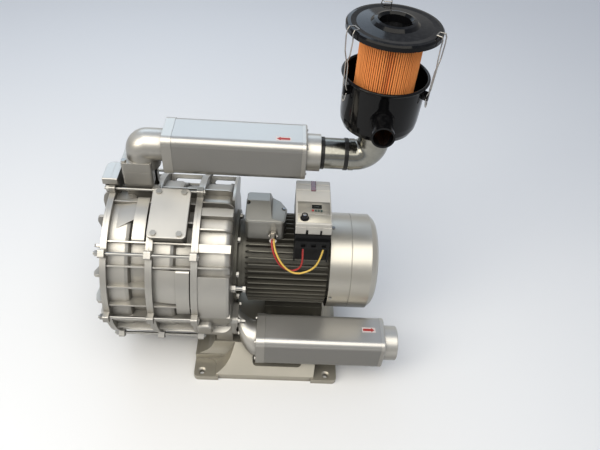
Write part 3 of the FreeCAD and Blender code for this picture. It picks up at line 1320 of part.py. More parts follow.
def fan_cowl():
    """Pressed cowl with a rolled seam, a rounded end and a slotted grille."""
    x0 = MOTOR_X1 + 1.0
    x1 = COWL_X1
    r = COWL_R
    t = COWL_WALL
    seam = COWL_SEAM_X
    end = [(x1 + dx, r + dr) for dx, dr in COWL_END]
    outer = [(x0, r), (seam - 1.0, r), (seam - 1.0, r - 1.2), (seam + 1.5, r - 1.2), (seam + 1.5, r)]
    outer += end + [(x1, 0)]
    inner = [(x1 - t, 0)] + [(x - t, y - 0.6 * t) for x, y in reversed(end[1:])]
    inner += [(end[0][0] - 0.4 * t, r - t), (x0, r - t)]
    shell = turned(outer + inner)
    slots = []
    slot = block(x1 - t - 3.0, x1 + 1.0, -4.0, 4.0, SHAFT_Z + 72.0, SHAFT_Z + 118.0)
    short = block(x1 - t - 3.0, x1 + 1.0, -4.0, 4.0, SHAFT_Z + 28.0, SHAFT_Z + 64.0)
    for n in range(24):
        slots.append(at_angle(slot, 15.0 * n))
    for n in range(12):
        slots.append(at_angle(short, 30.0 * n))
    return shell.cut(Part.makeCompound(slots))


def motor_foot():
    """The support block between the motor and the base deck."""
    top = block(FOOT_X0, FOOT_X1, -FOOT_HALF_Y, FOOT_HALF_Y, DECK_Z, FOOT_TOP_Z)
    flange = block(FOOT_X0, FOOT_X1, -FOOT_HALF_Y - 22.0, FOOT_HALF_Y + 22.0, DECK_Z, DECK_Z + 12.0)
    way = block(FOOT_X0 - 1.0, FOOT_X1 + 1.0, -FOOT_HALF_Y + 16.0, FOOT_HALF_Y - 16.0,
                DECK_Z - 1.0, FOOT_TOP_Z - 14.0)
    foot = fuse([top, flange]).cut(way)
    return drill(foot, foot_points(), Z, 5.2, 16.0)


def box_nodes():
    """Terminal box, its lid, the terminal block inside, the gland and small screws."""
    nodes = {}
    wall = 5.0
    base = box_form(0.0, BOX_Z0, BOX_Z1)
    nodes["terminal_box"] = base.cut(box_form(-wall, BOX_Z0 + wall, BOX_Z1 + 1.0))
    nodes["terminal_box_lid"] = box_lid(wall)
    terminals = fuse([block(BOX_X0 + 30.0, BOX_X1 - 30.0, -18.0, 18.0, BOX_Z0 + wall, BOX_Z0 + wall + 16.0)]
                     + [bar_z(x, y, BOX_Z0 + wall + 15.0, BOX_Z0 + wall + 26.0, 3.0)
                        for x in (-38.0, -17.0, 4.0) for y in (-9.0, 9.0)])
    nodes["terminal_block"] = terminals
    gland = [hexagon(vec(GLAND_X, BOX_Y0, GLAND_Z), vec(0, -1, 0), 26.0, 12.0)]
    gland.append(Part.makeCylinder(GLAND_R, GLAND_LEN - 11.0, vec(GLAND_X, BOX_Y0 - 11.0, GLAND_Z),
                                   vec(0, -1, 0)))
    nodes["cable_gland"] = fuse(gland)
    return nodes


def box_form(grow, z0, z1):
    """The terminal box's plan, with its far right corner cut off, grown or shrunk by an offset."""
    plan = face_of([vec(BOX_X0, BOX_Y0, z0), vec(BOX_X1, BOX_Y0, z0)]
                   + [vec(x, y, z0) for x, y in BOX_CUT] + [vec(BOX_X0, BOX_Y1, z0)])
    plan = plan.extrude(vec(0, 0, z1 - z0))
    plan = rounded(plan, 12.0, Z)
    if not grow:
        return plan
    floor = [f for f in plan.Faces if abs(f.CenterOfMass.z - z0) < 0.01][0]
    outline = floor.OuterWire.makeOffset2D(grow)
    return Part.Face(outline).extrude(vec(0, 0, z1 - z0))


def box_lid(wall):
    """The terminal box's lid: a rim, and a crown that slopes to the front and to the right."""
    low = BOX_Z1 + LID_RIM
    top = BOX_Z1 + LID_DOME
    front = along_x([(BOX_Y0, low - 1.0), (BOX_Y0 + 3.0, low + 2.0), (LID_FLAT_Y, top),
                     (BOX_Y1, top), (BOX_Y1, low - 1.0)])
    right = along_y([(BOX_X0, low - 1.0), (BOX_X0, top), (LID_RIGHT_X, top),
                     (LID_RIGHT_X + 8.0, low + 5.0), (BOX_X1 + BOX_REACH, low + 1.0),
                     (BOX_X1 + BOX_REACH, low - 1.0)], REACH)
    crown = box_form(-2.0, low - 1.0, top).common(front).common(right).removeSplitter()
    level = [f for f in crown.Faces if abs(f.CenterOfMass.z - top) < 0.1][0]
    cover = box_form(1.5, BOX_Z1, low).fuse(crown.makeFillet(3.0, level.Edges))
    for p in box_screw_points():
        cover = cover.cut(bar_z(p.x, p.y, p.z, p.z + LID_DOME, 7.0))
    drop = vec(0, 0, -LID_SKIN)
    cover = cover.cut(box_form(-wall, BOX_Z1 - 1.0, low - 4.0))
    room = box_form(-wall - 2.0, low - 5.0, top)
    cover = cover.cut(room.common(front.translated(drop)).common(right.translated(drop)))
    return drill(cover, box_screw_points(), Z, 2.6, LID_RIM + 8.0)


def box_screw_points():
    """Lid screw seats of the terminal box."""
    z = BOX_Z1 + LID_RIM
    return [vec(BOX_X0 + 6.0, 9.0, z), vec(BOX_X1 - 2.0, 6.0, z)]


def small_screws():
    """Cap screws of the terminal box lid, the silencer caps and the fan cowl."""
    screws = []
    for p in box_screw_points():
        screws.append(Part.makeCylinder(4.4, 5.0, p, Z))
    for x0, length, y, z in ((INLET_BOX_X0, INLET_BOX_LEN, INLET_Y, INLET_Z),
                             (OUTLET_BOX_X0, OUTLET_BOX_LEN, OUTLET_Y, OUTLET_Z)):
        reach = BOX_S / 2 - 17.5
        for dy in (-reach, reach):
            for dz in (-reach, reach):
                screws.append(Part.makeCylinder(3.5, 3.0, vec(x0 + length, y + dy, z + dz), X))
    for angle in COWL_SCREWS:
        head = Part.makeCylinder(5.0, 3.0, vec(MOTOR_X1 + 10.0, 0, SHAFT_Z + COWL_R), Z)
        screws.append(at_angle(head, angle))
    return group(screws)


def inverter_nodes():
    """Inverter case, face, terminal cover, bracket, lens, display, knob and keys."""
    nodes = {}
    x0, x1, y0, y1 = INV_X0, INV_X1, INV_Y0, INV_Y1
    split = INV_Z1 - INV_FACE_T
    case = rounded_box(x0, x1, y0 + 34.0, y1, INV_Z0 + 22.0, split, 5.0, Z)
    sink = [block(x0 + 4.0, x1 - 4.0, y0 + 36.0, y1 - 2.0, INV_Z0 + 14.0, INV_Z0 + 23.0)]
    step = (x1 - x0 - 12.0) / 11.0
    for n in range(12):
        x = x0 + 4.5 + n * step
        sink.append(block(x, x + 2.4, y0 + 36.0, y1 - 2.0, INV_Z0, INV_Z0 + 15.0))
    nodes["inverter_case"] = fuse([case] + sink)
    face = rounded_box(x0, x1, y0, y1, split, INV_Z1, 5.0, Z)
    brow = [e for e in face.Edges if abs(e.CenterOfMass.y - y0) < 0.1
            and abs(e.CenterOfMass.z - INV_Z1) < 0.1]
    face = fuse([face.makeFillet(4.0, brow)] + face_tabs(split))
    for x in (x0 + 39.0, x0 + 73.0):
        face = face.cut(bar_z(x, y0 + 10.0, INV_Z1 - 1.2, INV_Z1 + 1.0, 2.2))
    for n, y in enumerate((y1 - 14.0, y1 - 40.0)):
        groove = Part.makeCylinder(4.0, x1 - x0 + 2.0, vec(x0 - 1.0, y - 8.0, INV_Z1 + 2.0), X)
        face = face.cut(groove)
    face = face.cut(block(*lens_box(0.2)))
    face = face.cut(block(*display_box(0.2)))
    for x in KEY_XS:
        face = face.cut(block(*key_box(x, KEY_TRAVEL + 2.0, 0.4)))
    face = face.cut(bar_z(KNOB_X, KNOB_Y, INV_Z1 - 10.0, INV_Z1 + 1.0, 3.4))
    nodes["inverter_face"] = face
    cover = block(x0, x1, y0, y0 + 34.0, INV_COVER_Z, split)
    recess = block(x0 + 5.0, x1 - 5.0, y0 - 1.0, y0 + 9.0, INV_COVER_Z - 1.0, INV_LEDGE_Z)
    ledge = block(x0 + 2.0, x1 - 2.0, y0 - INV_LEDGE, y0 + 1.0, INV_LEDGE_Z, INV_LEDGE_Z + INV_LEDGE_H)
    slots = [block(x - 7.0, x + 7.0, y0 - INV_LEDGE - 1.0, y0 - INV_LEDGE + 5.0,
                   INV_LEDGE_Z + 8.0, INV_LEDGE_Z + 24.0) for x in (x0 + 26.0, x0 + 57.0, x0 + 88.0)]
    brow = block(x0 + 1.0, x1 - 1.0, y0 - INV_BROW, y0 + 1.0, INV_LEDGE_Z + INV_LEDGE_H, INV_TAB_Z)
    cover = fuse([cover.cut(recess), ledge, brow]).cut(Part.makeCompound(slots))
    nodes["inverter_terminal_cover"] = cover
    lens = block(*lens_box(0.0))
    nodes["status_lens"] = lens.makeFillet(1.2, [e for e in lens.Edges
                                                 if e.CenterOfMass.z > INV_Z1 + 1.0])
    nodes["display_window"] = block(*display_box(0.0))
    plate = [block(x0 + 12.0, x1 - 12.0, -60.0, y1 + 10.0, INV_Z0 - 6.0, INV_Z0)]
    nodes["inverter_bracket"] = fuse(plate)
    nodes["speed_knob"] = speed_knob()
    for n, x in enumerate(KEY_XS):
        key = block(*key_box(x, 0.0, 0.0))
        nodes["keypad_key_%d" % (n + 1)] = key
    return nodes


def face_tabs(split):
    """The three tabs of the inverter's face that lap down over the terminal cover."""
    tabs = []
    for left, right in INV_TABS:
        x0 = INV_X0 + left
        x1 = INV_X0 + right
        tabs.append(block(x0, x1, INV_Y0 - 1.5, INV_Y0 + 8.0, split, split + 12.0))
        tabs.append(block(x0, x1, INV_Y0 - 1.5, INV_Y0 - SEAT_GAP / 2, INV_TAB_Z, split))
    return tabs


def lens_box(gap):
    """Corners of the red status lens at the far end of the inverter's face."""
    return (INV_X0 + 46.0 - gap, INV_X0 + 61.0 + gap, INV_Y1 - 50.0 - gap, INV_Y1 - 3.0 + gap,
            INV_Z1 - 8.0 - gap, INV_Z1 + 1.5)


def display_box(gap):
    """Corners of the display window."""
    return (INV_X0 + 47.0 - gap, INV_X0 + 77.0 + gap, INV_Y1 - 129.0 - gap, INV_Y1 - 113.0 + gap,
            INV_Z1 - 3.0 - gap, INV_Z1 + 0.6)


def key_box(x, deep, gap):
    """Corners of one key, or of its well where a depth and a gap are given."""
    half = KEY_W / 2 + gap
    low = INV_Z1 - 4.0 - deep
    return (x - half, x + half, KEY_Y - half, KEY_Y + half, low, INV_Z1 + KEY_H - 1.4)


def speed_knob():
    """Skirted knob with a fluted grip on a short spindle."""
    z = INV_Z1 + 0.4
    skirt = bar_z(KNOB_X, KNOB_Y, z, z + 3.0, KNOB_R)
    grip = Part.makeCone(KNOB_R - 3.0, KNOB_R - 4.0, 12.0, vec(KNOB_X, KNOB_Y, z + 3.0), Z)
    flutes = []
    for n in range(12):
        a = math.radians(30.0 * n)
        flutes.append(bar_z(KNOB_X + KNOB_R * math.cos(a) - 1.2 * math.cos(a),
                            KNOB_Y + KNOB_R * math.sin(a) - 1.2 * math.sin(a), z + 3.0, z + 16.0, 2.2))
    grip = grip.cut(Part.makeCompound(flutes))
    pointer = block(KNOB_X - 1.0, KNOB_X + 1.0, KNOB_Y + 2.0, KNOB_Y + 9.0, z + 14.0, z + 15.6)
    spindle = bar_z(KNOB_X, KNOB_Y, INV_Z1 - 9.0, z + 1.0, 3.0)
    return fuse([skirt, grip, pointer, spindle])


def cord(route, name):
    """A wire's tube: straight runs joined by tangent arcs. Returns the solid."""
    points = [vec(*p) for p in route]
    edges = []
    start = points[0]
    radii = []
    for before, corner, after in zip(points, points[1:], points[2:]):
        inward = corner - before
        outward = after - corner
        turn = inward.getAngle(outward)
        radius = 0.45 * min(inward.Length, outward.Length) / math.tan(turn / 2)
        radii.append(radius)
        cut = radius * math.tan(turn / 2)
        u = vec(inward.x, inward.y, inward.z).normalize()
        w = vec(outward.x, outward.y, outward.z).normalize()
        a = corner - u * cut
        b = corner + w * cut
        bisector = (w - u).normalize()
        centre = corner + bisector * (radius / math.cos(turn / 2))
        middle = centre + (corner - centre).normalize() * radius
        edges.append(Part.LineSegment(start, a).toShape())
        edges.append(Part.Arc(a, middle, b).toShape())
        start = b
    edges.append(Part.LineSegment(start, points[-1]).toShape())
    path = Part.Wire(edges)
    ring = Part.Wire(Part.makeCircle(WIRE_R, points[0], points[1] - points[0]))
    tube = path.makePipeShell([ring], True, False)
    print(name, "length", round(path.Length, 1), "radii", [round(r, 1) for r in radii],
          "volume ratio", round(tube.Volume / (math.pi * WIRE_R ** 2 * path.Length), 4))
    return tube


def flare(x0, z0, x1, z1, sag, steps=5):
    """Points of a hollow curve from a low outer point to a high inner one."""
    points = []
    for n in range(steps + 1):
        t = n / steps
        dip = sag * math.sin(math.pi * t)
        points.append((x0 + (x1 - x0) * t + dip * (1 if x1 > x0 else -1) * 0.7,
                       z0 + (z1 - z0) * t - dip * 0.7))
    return points


def along_y(profile, half_y):
    """An outline of (x, z) points drawn out to both sides."""
    return face_of([vec(x, -half_y, z) for x, z in profile]).extrude(vec(0, 2 * half_y, 0))


def along_x(profile):
    """An outline of (y, z) points drawn out along the whole length."""
    return face_of([vec(-REACH, y, z) for y, z in profile]).extrude(vec(2 * REACH, 0, 0))


def base_section(inset):
    """The base casting's outer form, or its inner one where an inset is given."""
    low = -1.0 if inset else 0.0
    top = DECK_Z - inset
    lip = LIP_Z - inset
    left = flare(LIP_X0 + inset, lip, DECK_X0 + 70.0 + inset, top, FLARE_SAG)
    right = flare(LIP_X1 - inset, lip, DECK_X1 - 22.0 - inset, top, 3.0)
    front = along_y([(LIP_X0 + inset, low)] + left + right[::-1] + [(LIP_X1 - inset, low)],
                    LIP_HALF_Y - inset)
    edge = LIP_HALF_Y - inset
    slope = along_x([(-edge, low), (-edge, lip), (-DECK_HALF_Y + inset, top),
                     (DECK_HALF_Y - inset, top), (edge, lip), (edge, low)])
    front = front.common(slope)
    skirt = SKIRT_Z - inset
    left = flare(BASE_X0 + 12.0 + inset, skirt, DECK_X0 + inset, top, FLARE_SAG)
    right = flare(BASE_X1 - 12.0 - inset, skirt, DECK_X1 - inset, top, FLARE_SAG)
    side = along_y([(BASE_X0 + inset, low), (BASE_X0 + inset, skirt)] + left + right[::-1]
                   + [(BASE_X1 - inset, skirt), (BASE_X1 - inset, low)], SKIRT_HALF_Y - inset)
    edge = SKIRT_HALF_Y - inset
    near = flare(-edge + 6.0, skirt, -DECK_HALF_Y + inset, top, 4.0)
    far = [(-y, z) for y, z in near]
    slope = along_x([(-edge, low), (-edge, skirt)] + near + far[::-1] + [(edge, skirt), (edge, low)])
    return fuse([front, side.common(slope)])


def saddle(wall):
    """The room that the casing, its lugs and the silencer need in the base, grown by a wall."""
    inner_x = DECK_X0 - 26.0
    low = bar_x(inner_x - 1.0, DRIVE_END_X + 5.0 + wall, RIM_R + 4.0 + wall)
    wide = bar_x(BASE_X0 - 1.0, inner_x + wall, LUG_R + 4.0 + wall)
    size = BOX_S + 2 * (BOX_ROOM + wall)
    box = square_bar(OUTLET_BOX_X0 - 4.0 - wall, BASE_X1, OUTLET_Y, OUTLET_Z, size, BOX_CORNER)
    return fuse([low, wide, box])


def pocket_corners():
    """Round the inner corners of the four foot pockets."""
    r = POCKET_R
    fills = []
    for x, sx in ((LIP_X0, -1), (LIP_X1, 1)):
        for sy in (-1, 1):
            y = sy * SKIRT_HALF_Y
            xs = sorted((x - sx * 1.0, x + sx * r))
            ys = sorted((y - sy * 1.0, y + sy * r))
            fill = block(xs[0], xs[1], ys[0], ys[1], 0, LIP_Z)
            fills.append(fill.cut(bar_z(x + sx * r, y + sy * r, -1.0, LIP_Z + 1.0, r)))
    return fills


def base_frame():
    """The cast base: four pads, a raised skirt, sloping walls, a deck and two windows."""
    outer = base_section(0.0)
    pads = []
    for sx, x0, x1 in ((-1, BASE_X0, LIP_X0 + 8.0), (1, LIP_X1 - 8.0, BASE_X1)):
        for sy in (-1, 1):
            ys = sorted((sy * (SKIRT_HALF_Y - 8.0), sy * BASE_HALF_Y))
            pad = block(x0, x1, ys[0], ys[1], 0, PAD_T)
            corner = [e for e in pad.Edges
                      if abs(e.CenterOfMass.x - (x0 if sx < 0 else x1)) < 0.1
                      and abs(e.CenterOfMass.y - sy * BASE_HALF_Y) < 0.1]
            pads.append(pad.makeFillet(16.0, corner))
    body = fuse([outer] + pads + pocket_corners())
    hollow = base_section(BASE_WALL).cut(saddle(SADDLE_WALL))
    body = body.cut(hollow).cut(saddle(0.0))
    window = block(WINDOW_X0, WINDOW_X1, -REACH, REACH, WINDOW_Z0, WINDOW_Z1)
    body = body.cut(rounded(window, 12.0, Y))
    holes = []
    for x in (-BASE_HOLE_X, BASE_HOLE_X):
        for y in (-BASE_HOLE_Y, BASE_HOLE_Y):
            holes.append(bar_z(x, y, -1.0, PAD_T + 1.0, BASE_HOLE_R))
            holes.append(Part.makeCone(BASE_HOLE_R, BASE_SINK_R, 4.0, vec(x, y, PAD_T - 4.0), Z))
    body = body.cut(Part.makeCompound(holes))
    return drill(body, foot_points(), Z, 5.2, 40.0)


def main():
    """Build every node and write it."""
    nodes = {"base_frame": base_frame()}
    nodes.update(casing_nodes())
    nodes.update(fastener_nodes())
    nodes.update(piping_nodes())
    nodes.update(filter_nodes())
    nodes.update(rotor_nodes())
    nodes.update(motor_nodes())
    nodes.update(box_nodes())
    nodes["small_screws"] = small_screws()
    nodes.update(inverter_nodes())
    nodes["red_wire"] = cord(RED_ROUTE, "red_wire")
    nodes["yellow_wire"] = cord(YELLOW_ROUTE, "yellow_wire")
    os.makedirs("parts", exist_ok=True)
    for name, shape in nodes.items():
        solids = shape.Solids
        print(name, len(solids), "solids", round(shape.Volume), "mm3", shape.isValid())
        shape.exportStep("parts/%s.step" % name)
    print(len(nodes), "nodes")


main()
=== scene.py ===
"""Looks of a three-stage ring blower with its motor, silencers, inlet filter and inverter.

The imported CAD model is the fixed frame. Every rigid part keeps its CAD form and gets a
procedural finish, and the paper element, the wires and the fine trim are pieces made here.
"""

from __future__ import annotations

import json
import logging
import math
from dataclasses import dataclass, field
from enum import Enum
from typing import Any, Sequence

import bmesh
import bpy
from mathutils import Matrix, Vector

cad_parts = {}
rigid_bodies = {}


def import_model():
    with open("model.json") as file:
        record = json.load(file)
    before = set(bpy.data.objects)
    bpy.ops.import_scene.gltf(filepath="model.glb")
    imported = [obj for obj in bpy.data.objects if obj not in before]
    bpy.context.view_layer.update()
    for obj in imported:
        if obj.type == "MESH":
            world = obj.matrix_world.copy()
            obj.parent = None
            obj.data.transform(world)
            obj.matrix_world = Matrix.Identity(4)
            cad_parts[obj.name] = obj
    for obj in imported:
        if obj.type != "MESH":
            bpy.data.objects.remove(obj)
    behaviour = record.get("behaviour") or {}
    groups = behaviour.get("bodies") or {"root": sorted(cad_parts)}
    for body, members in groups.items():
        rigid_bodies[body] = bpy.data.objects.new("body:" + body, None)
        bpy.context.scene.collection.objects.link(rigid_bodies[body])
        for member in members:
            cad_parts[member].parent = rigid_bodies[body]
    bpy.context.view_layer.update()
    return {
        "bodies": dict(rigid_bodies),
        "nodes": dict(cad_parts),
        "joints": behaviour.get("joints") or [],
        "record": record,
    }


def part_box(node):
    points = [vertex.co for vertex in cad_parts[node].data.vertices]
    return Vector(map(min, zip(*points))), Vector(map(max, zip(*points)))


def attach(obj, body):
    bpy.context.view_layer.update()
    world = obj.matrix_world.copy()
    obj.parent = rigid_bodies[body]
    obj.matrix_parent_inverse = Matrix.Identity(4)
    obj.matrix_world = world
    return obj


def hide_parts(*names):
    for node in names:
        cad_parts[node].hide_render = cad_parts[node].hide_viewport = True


LOG = logging.getLogger("ring_blower")
MM = 0.001

Colour = tuple[float, float, float]
Point = tuple[float, float, float]


class Tooling(Enum):
    """How a bare metal surface was worked."""

    DRAWN = "drawn"
    TURNED = "turned"
    SPANGLED = "spangled"


MARK_DEPTHS = {Tooling.DRAWN: 0.00001, Tooling.TURNED: 0.00002, Tooling.SPANGLED: 0.000004}
"""Depth in metres of the marks that each kind of tooling leaves."""


# Shader expressions


class Value:
    """A number socket in an expression, whose operators add Math nodes."""

    def __init__(self, tree: bpy.types.NodeTree, socket: bpy.types.NodeSocket) -> None:
        """Wraps a socket.

        Args:
            tree: The node tree that the expression grows in.
            socket: The output socket that carries the number.
        """
        self.tree = tree
        self.socket = socket

    def combine(self, operation: str, *terms: Value | float, clamp: bool = False) -> Value:
        """Adds one Math node.

        Args:
            operation: The Math node's operation.
            terms: The node's inputs in order.
            clamp: Whether the result is held between 0 and 1.

        Returns:
            The node's result.
        """
        math_node = self.tree.nodes.new("ShaderNodeMath")
        math_node.operation = operation
        math_node.use_clamp = clamp
        for place, term in zip(math_node.inputs, terms):
            if isinstance(term, Value):
                self.tree.links.new(term.socket, place)
            else:
                place.default_value = term
        return Value(self.tree, math_node.outputs[0])

    def __add__(self, other: Value | float) -> Value:
        """Returns self + other."""
        return self.combine("ADD", self, other)

    def __radd__(self, other: float) -> Value:
        """Returns other + self."""
        return self.combine("ADD", other, self)

    def __sub__(self, other: Value | float) -> Value:
        """Returns self - other."""
        return self.combine("SUBTRACT", self, other)

    def __rsub__(self, other: float) -> Value:
        """Returns other - self."""
        return self.combine("SUBTRACT", other, self)

    def __mul__(self, other: Value | float) -> Value:
        """Returns self * other."""
        return self.combine("MULTIPLY", self, other)

    def __rmul__(self, other: float) -> Value:
        """Returns other * self."""
        return self.combine("MULTIPLY", other, self)

    def clamped(self) -> Value:
        """Returns self held between 0 and 1."""
        return self.combine("ADD", self, 0.0, clamp=True)

    def step(self, low: float, high: float) -> Value:
        """Returns a straight ramp, 0 at low and 1 at high."""
        return ((self - low) * (1.0 / (high - low))).clamped()

    def wave(self) -> Value:
        """Returns the sine of self."""
        return self.combine("SINE", self)


Source = Value | bpy.types.NodeSocket

MIX_COLOURS = (6, 7)
"""Places of a Mix node's two colour inputs, because its input names repeat for each kind of data."""

MIX_RESULT = 2
"""Place of its mixed colour among its outputs."""


class Tree:
    """A node tree, with the one method that adds nodes and the ones that join and mix."""

    def __init__(self, tree: bpy.types.NodeTree) -> None:
        """Takes a node tree to add to."""
        self.tree = tree

    def node(self, kind: str, settings: dict[str, object],
             inputs: dict[str | int, object]) -> bpy.types.Node:
        """Adds a node of any type.

        Args:
            kind: The node's type name.
            settings: Attributes that are set first.
            inputs: Values or links of its sockets, by name or place.

        Returns:
            The node.
        """
        made = self.tree.nodes.new(kind)
        for key, setting in settings.items():
            setattr(made, key, setting)
        for key, source in inputs.items():
            self.join(source, made.inputs[key])
        return made

    def join(self, source: object, place: bpy.types.NodeSocket) -> None:
        """Links a source to a socket, or sets the socket's own value.

        Args:
            source: A value, a socket, or a plain number, vector or colour.
            place: The socket that it goes into.
        """
        if isinstance(source, Value):
            source = source.socket
        if isinstance(source, bpy.types.NodeSocket):
            self.tree.links.new(source, place)
        else:
            place.default_value = source

    def part(self, vector: bpy.types.NodeSocket, place: int) -> Value:
        """Returns one number of a vector."""
        return Value(self.tree, self.node("ShaderNodeSeparateXYZ", {}, {0: vector}).outputs[place])

    def seen(self) -> Value:
        """Finds the rays in which the surface is seen.

        Returns:
            1 for rays from the camera, in gloss and through glass, and 0 for the rest.
        """
        path = self.node("ShaderNodeLightPath", {}, {})
        rays = [Value(self.tree, path.outputs[name])
                for name in ("Is Camera Ray", "Is Glossy Ray", "Is Transmission Ray")]
        return (rays[0] + rays[1] + rays[2]).clamped()

    def mix(self, share: Value | float, low: object, high: object) -> bpy.types.NodeSocket:
        """Mixes two colours.

        Args:
            share: The share of the second colour.
            low: The first colour or its link.
            high: The second colour or its link.

        Returns:
            The mixed colour's socket.
        """
        made = self.node("ShaderNodeMix", {"data_type": "RGBA"}, {0: share})
        for place, colour in zip(MIX_COLOURS, (low, high)):
            self.join(solid(colour) if isinstance(colour, tuple) else colour, made.inputs[place])
        return made.outputs[MIX_RESULT]


class Shader(Tree):
    """A new material with one Principled shader, and the node methods that finishes use."""

    def __init__(self, name: str) -> None:
        """Makes the material.

        Args:
            name: The material's name.
        """
        self.material = bpy.data.materials.new(name)
        self.material.use_nodes = True
        super().__init__(self.material.node_tree)
        self.surface = self.tree.nodes["Principled BSDF"]
        self.place = self.node("ShaderNodeTexCoord", {}, {}).outputs["Object"]

    def constant(self, **numbers: object) -> Shader:
        """Sets the shader's own sockets.

        Args:
            numbers: What each socket is set to, by its name with underscores for spaces.

        Returns:
            The shader itself.
        """
        for key, number in numbers.items():
            self.surface.inputs[key.replace("_", " ")].default_value = number
        return self

    def feed(self, socket: str, source: Source) -> Shader:
        """Links what varies over the surface to one of the shader's sockets."""
        self.join(source, self.surface.inputs[socket])
        return self

    def stretched(self, scale: Point) -> bpy.types.NodeSocket:
        """Returns the object's coordinates multiplied by a scale for each axis."""
        made = self.node("ShaderNodeVectorMath", {"operation": "MULTIPLY"}, {0: self.place, 1: scale})
        return made.outputs[0]

    def noise(self, scale: float, detail: float = 3.0, stretch: Point = (1.0, 1.0, 1.0)) -> Value:
        """Returns a soft noise over the object's coordinates.

        Args:
            scale: Grains per metre.
            detail: Octaves.
            stretch: Further scale for each axis.

        Returns:
            The noise, from 0 to 1.
        """
        made = self.node("ShaderNodeTexNoise", {},
                         {"Vector": self.stretched(stretch), "Scale": scale, "Detail": detail})
        return Value(self.tree, made.outputs["Fac"])

    def cells(self, scale: float) -> bpy.types.Node:
        """Returns a Voronoi node over the object's coordinates, with a given scale per metre."""
        return self.node("ShaderNodeTexVoronoi", {}, {"Vector": self.place, "Scale": scale})

    def upness(self) -> Value:
        """Returns how far the surface faces up, from -1 to 1."""
        return self.part(self.node("ShaderNodeNewGeometry", {}, {}).outputs["Normal"], 2)

    def shaded_sides(self, side_shade_tone: float, colour: Colour, paint: bpy.types.NodeSocket) -> bpy.types.NodeSocket:
        """Paints shade on faces that look sideways or down, as light from above would leave them darker.

        Args:
            side_shade_tone: The painted shade's tone there, as a share of the paint's full tone.
            colour: The paint's colour.
            paint: The paint on faces that look up, without painted shade.

        Returns:
            The colour over the whole surface.
        """
        return self.mix(self.upness().step(0.0, 0.8), scaled(colour, side_shade_tone), paint)

    def recess(self, reach: float) -> Value:
        """Finds corners with an Ambient Occlusion node.

        Args:
            reach: How far it looks, in metres.

        Returns:
            1 deep in corners and 0 in the open.
        """
        made = self.node("ShaderNodeAmbientOcclusion", {"samples": 6, "only_local": False},
                         {"Distance": reach})
        return 1.0 - Value(self.tree, made.outputs["AO"])

    def edge(self, radius: float) -> tuple[Value, bpy.types.NodeSocket]:
        """Finds sharp edges with a Bevel node.

        Args:
            radius: How far from the edge it reaches, in metres.

        Returns:
            The amount of edge, and the rounded normal.
        """
        soft = self.node("ShaderNodeBevel", {"samples": 4}, {"Radius": radius}).outputs[0]
        hard = self.node("ShaderNodeNewGeometry", {}, {}).outputs["Normal"]
        likeness = self.node("ShaderNodeVectorMath", {"operation": "DOT_PRODUCT"}, {0: soft, 1: hard})
        return (1.0 - Value(self.tree, likeness.outputs["Value"])).step(0.02, 0.3), soft

    def relief(self, height: Value, depth: float, normal: bpy.types.NodeSocket | None = None) -> Shader:
        """Feeds a bump to the shader's normal.

        Args:
            height: The relief, from 0 to 1.
            depth: Its depth in metres.
            normal: A normal that it is laid on.

        Returns:
            The shader itself.
        """
        made = self.node("ShaderNodeBump", {}, {"Height": height, "Strength": 1.0, "Distance": depth})
        if normal is not None:
            self.join(normal, made.inputs["Normal"])
        return self.feed("Normal", made.outputs[0])


def scaled(colour: Colour, factor: float) -> Colour:
    """Returns a colour made lighter or darker, held at 1."""
    return tuple(min(1.0, part * factor) for part in colour)


def solid(colour: Colour) -> tuple[float, float, float, float]:
    """Returns a colour with full alpha."""
    return (colour[0], colour[1], colour[2], 1.0)


# Finishes

PATCHES = (0.3, 0.7)
"""Where a soft noise turns from one tone of a finish to the other."""

MIDDLE = 0.5
"""A noise's middle, from which it moves a roughness both ways."""


@dataclass(frozen=True)
class Finish:
    """What one kind of surface looks like; build makes its material."""

    name: str
    colour: Colour

    def build(self) -> bpy.types.Material:
        """Returns the finish's material."""
        raise NotImplementedError


@dataclass(frozen=True)
class CastPaint(Finish):
    """Silver paint sprayed over sand-cast aluminium, with grime and painted shade in the corners, edges
    lightened by wear and painted highlight, and painted shade on faces that look sideways or down.
    """

    grain: float = 420.0
    depth: float = 0.00006
    sheen: float = 0.36
    metallic: float = 0.85
    # The next two darken corners and recesses: part grime, part painted shade.
    grime_and_shade_colour: Colour = (0.045, 0.04, 0.032)
    grime_and_shade_share: float = 0.75
    corner_reach: float = 0.045
    edge_radius: float = 0.0018
    edge_share: float = 0.45
    edge_tone: float = 1.3
    dull_tone: float = 0.92
    # Tone of the painted shade on faces that look sideways or down.
    side_shade_tone: float = 0.44
    blotches: float = 9.0
    streaks: float = 38.0
    swing: float = 0.12
    grime_sheen: float = 0.2
    grime_dulls: float = 0.4

    def build(self) -> bpy.types.Material:
        """Builds the paint's material.

        Returns:
            The material.
        """
        shader = Shader(self.name)
        blotch = shader.noise(self.blotches, 4.0)
        sand = shader.noise(self.grain, 3.0)
        streaks = 0.5 + 0.7 * shader.noise(self.streaks, 5.0)
        # Corners and recesses found by ambient occlusion are darkened: part grime, part painted shade.
        grime_and_shade_mask = (shader.recess(self.corner_reach).step(0.18, 0.8) * streaks).clamped()
        wear_and_highlight, soft = shader.edge(self.edge_radius)
        paint = shader.mix(blotch.step(*PATCHES), scaled(self.colour, self.dull_tone), self.colour)
        # Sharp edges are lightened: part rubbed wear, part painted highlight.
        paint = shader.mix(wear_and_highlight * self.edge_share, paint, scaled(self.colour, self.edge_tone))
        # Painted shade on faces that look sideways or down.
        paint = shader.shaded_sides(self.side_shade_tone, self.colour, paint)
        shader.feed("Base Color", shader.mix(grime_and_shade_mask * self.grime_and_shade_share, paint, self.grime_and_shade_colour))
        shader.feed("Metallic", self.metallic - self.grime_dulls * grime_and_shade_mask)
        shader.feed("Roughness", self.sheen + self.swing * (blotch - MIDDLE) + self.grime_sheen * grime_and_shade_mask)
        shader.relief(sand, self.depth, soft)
        return shader.material


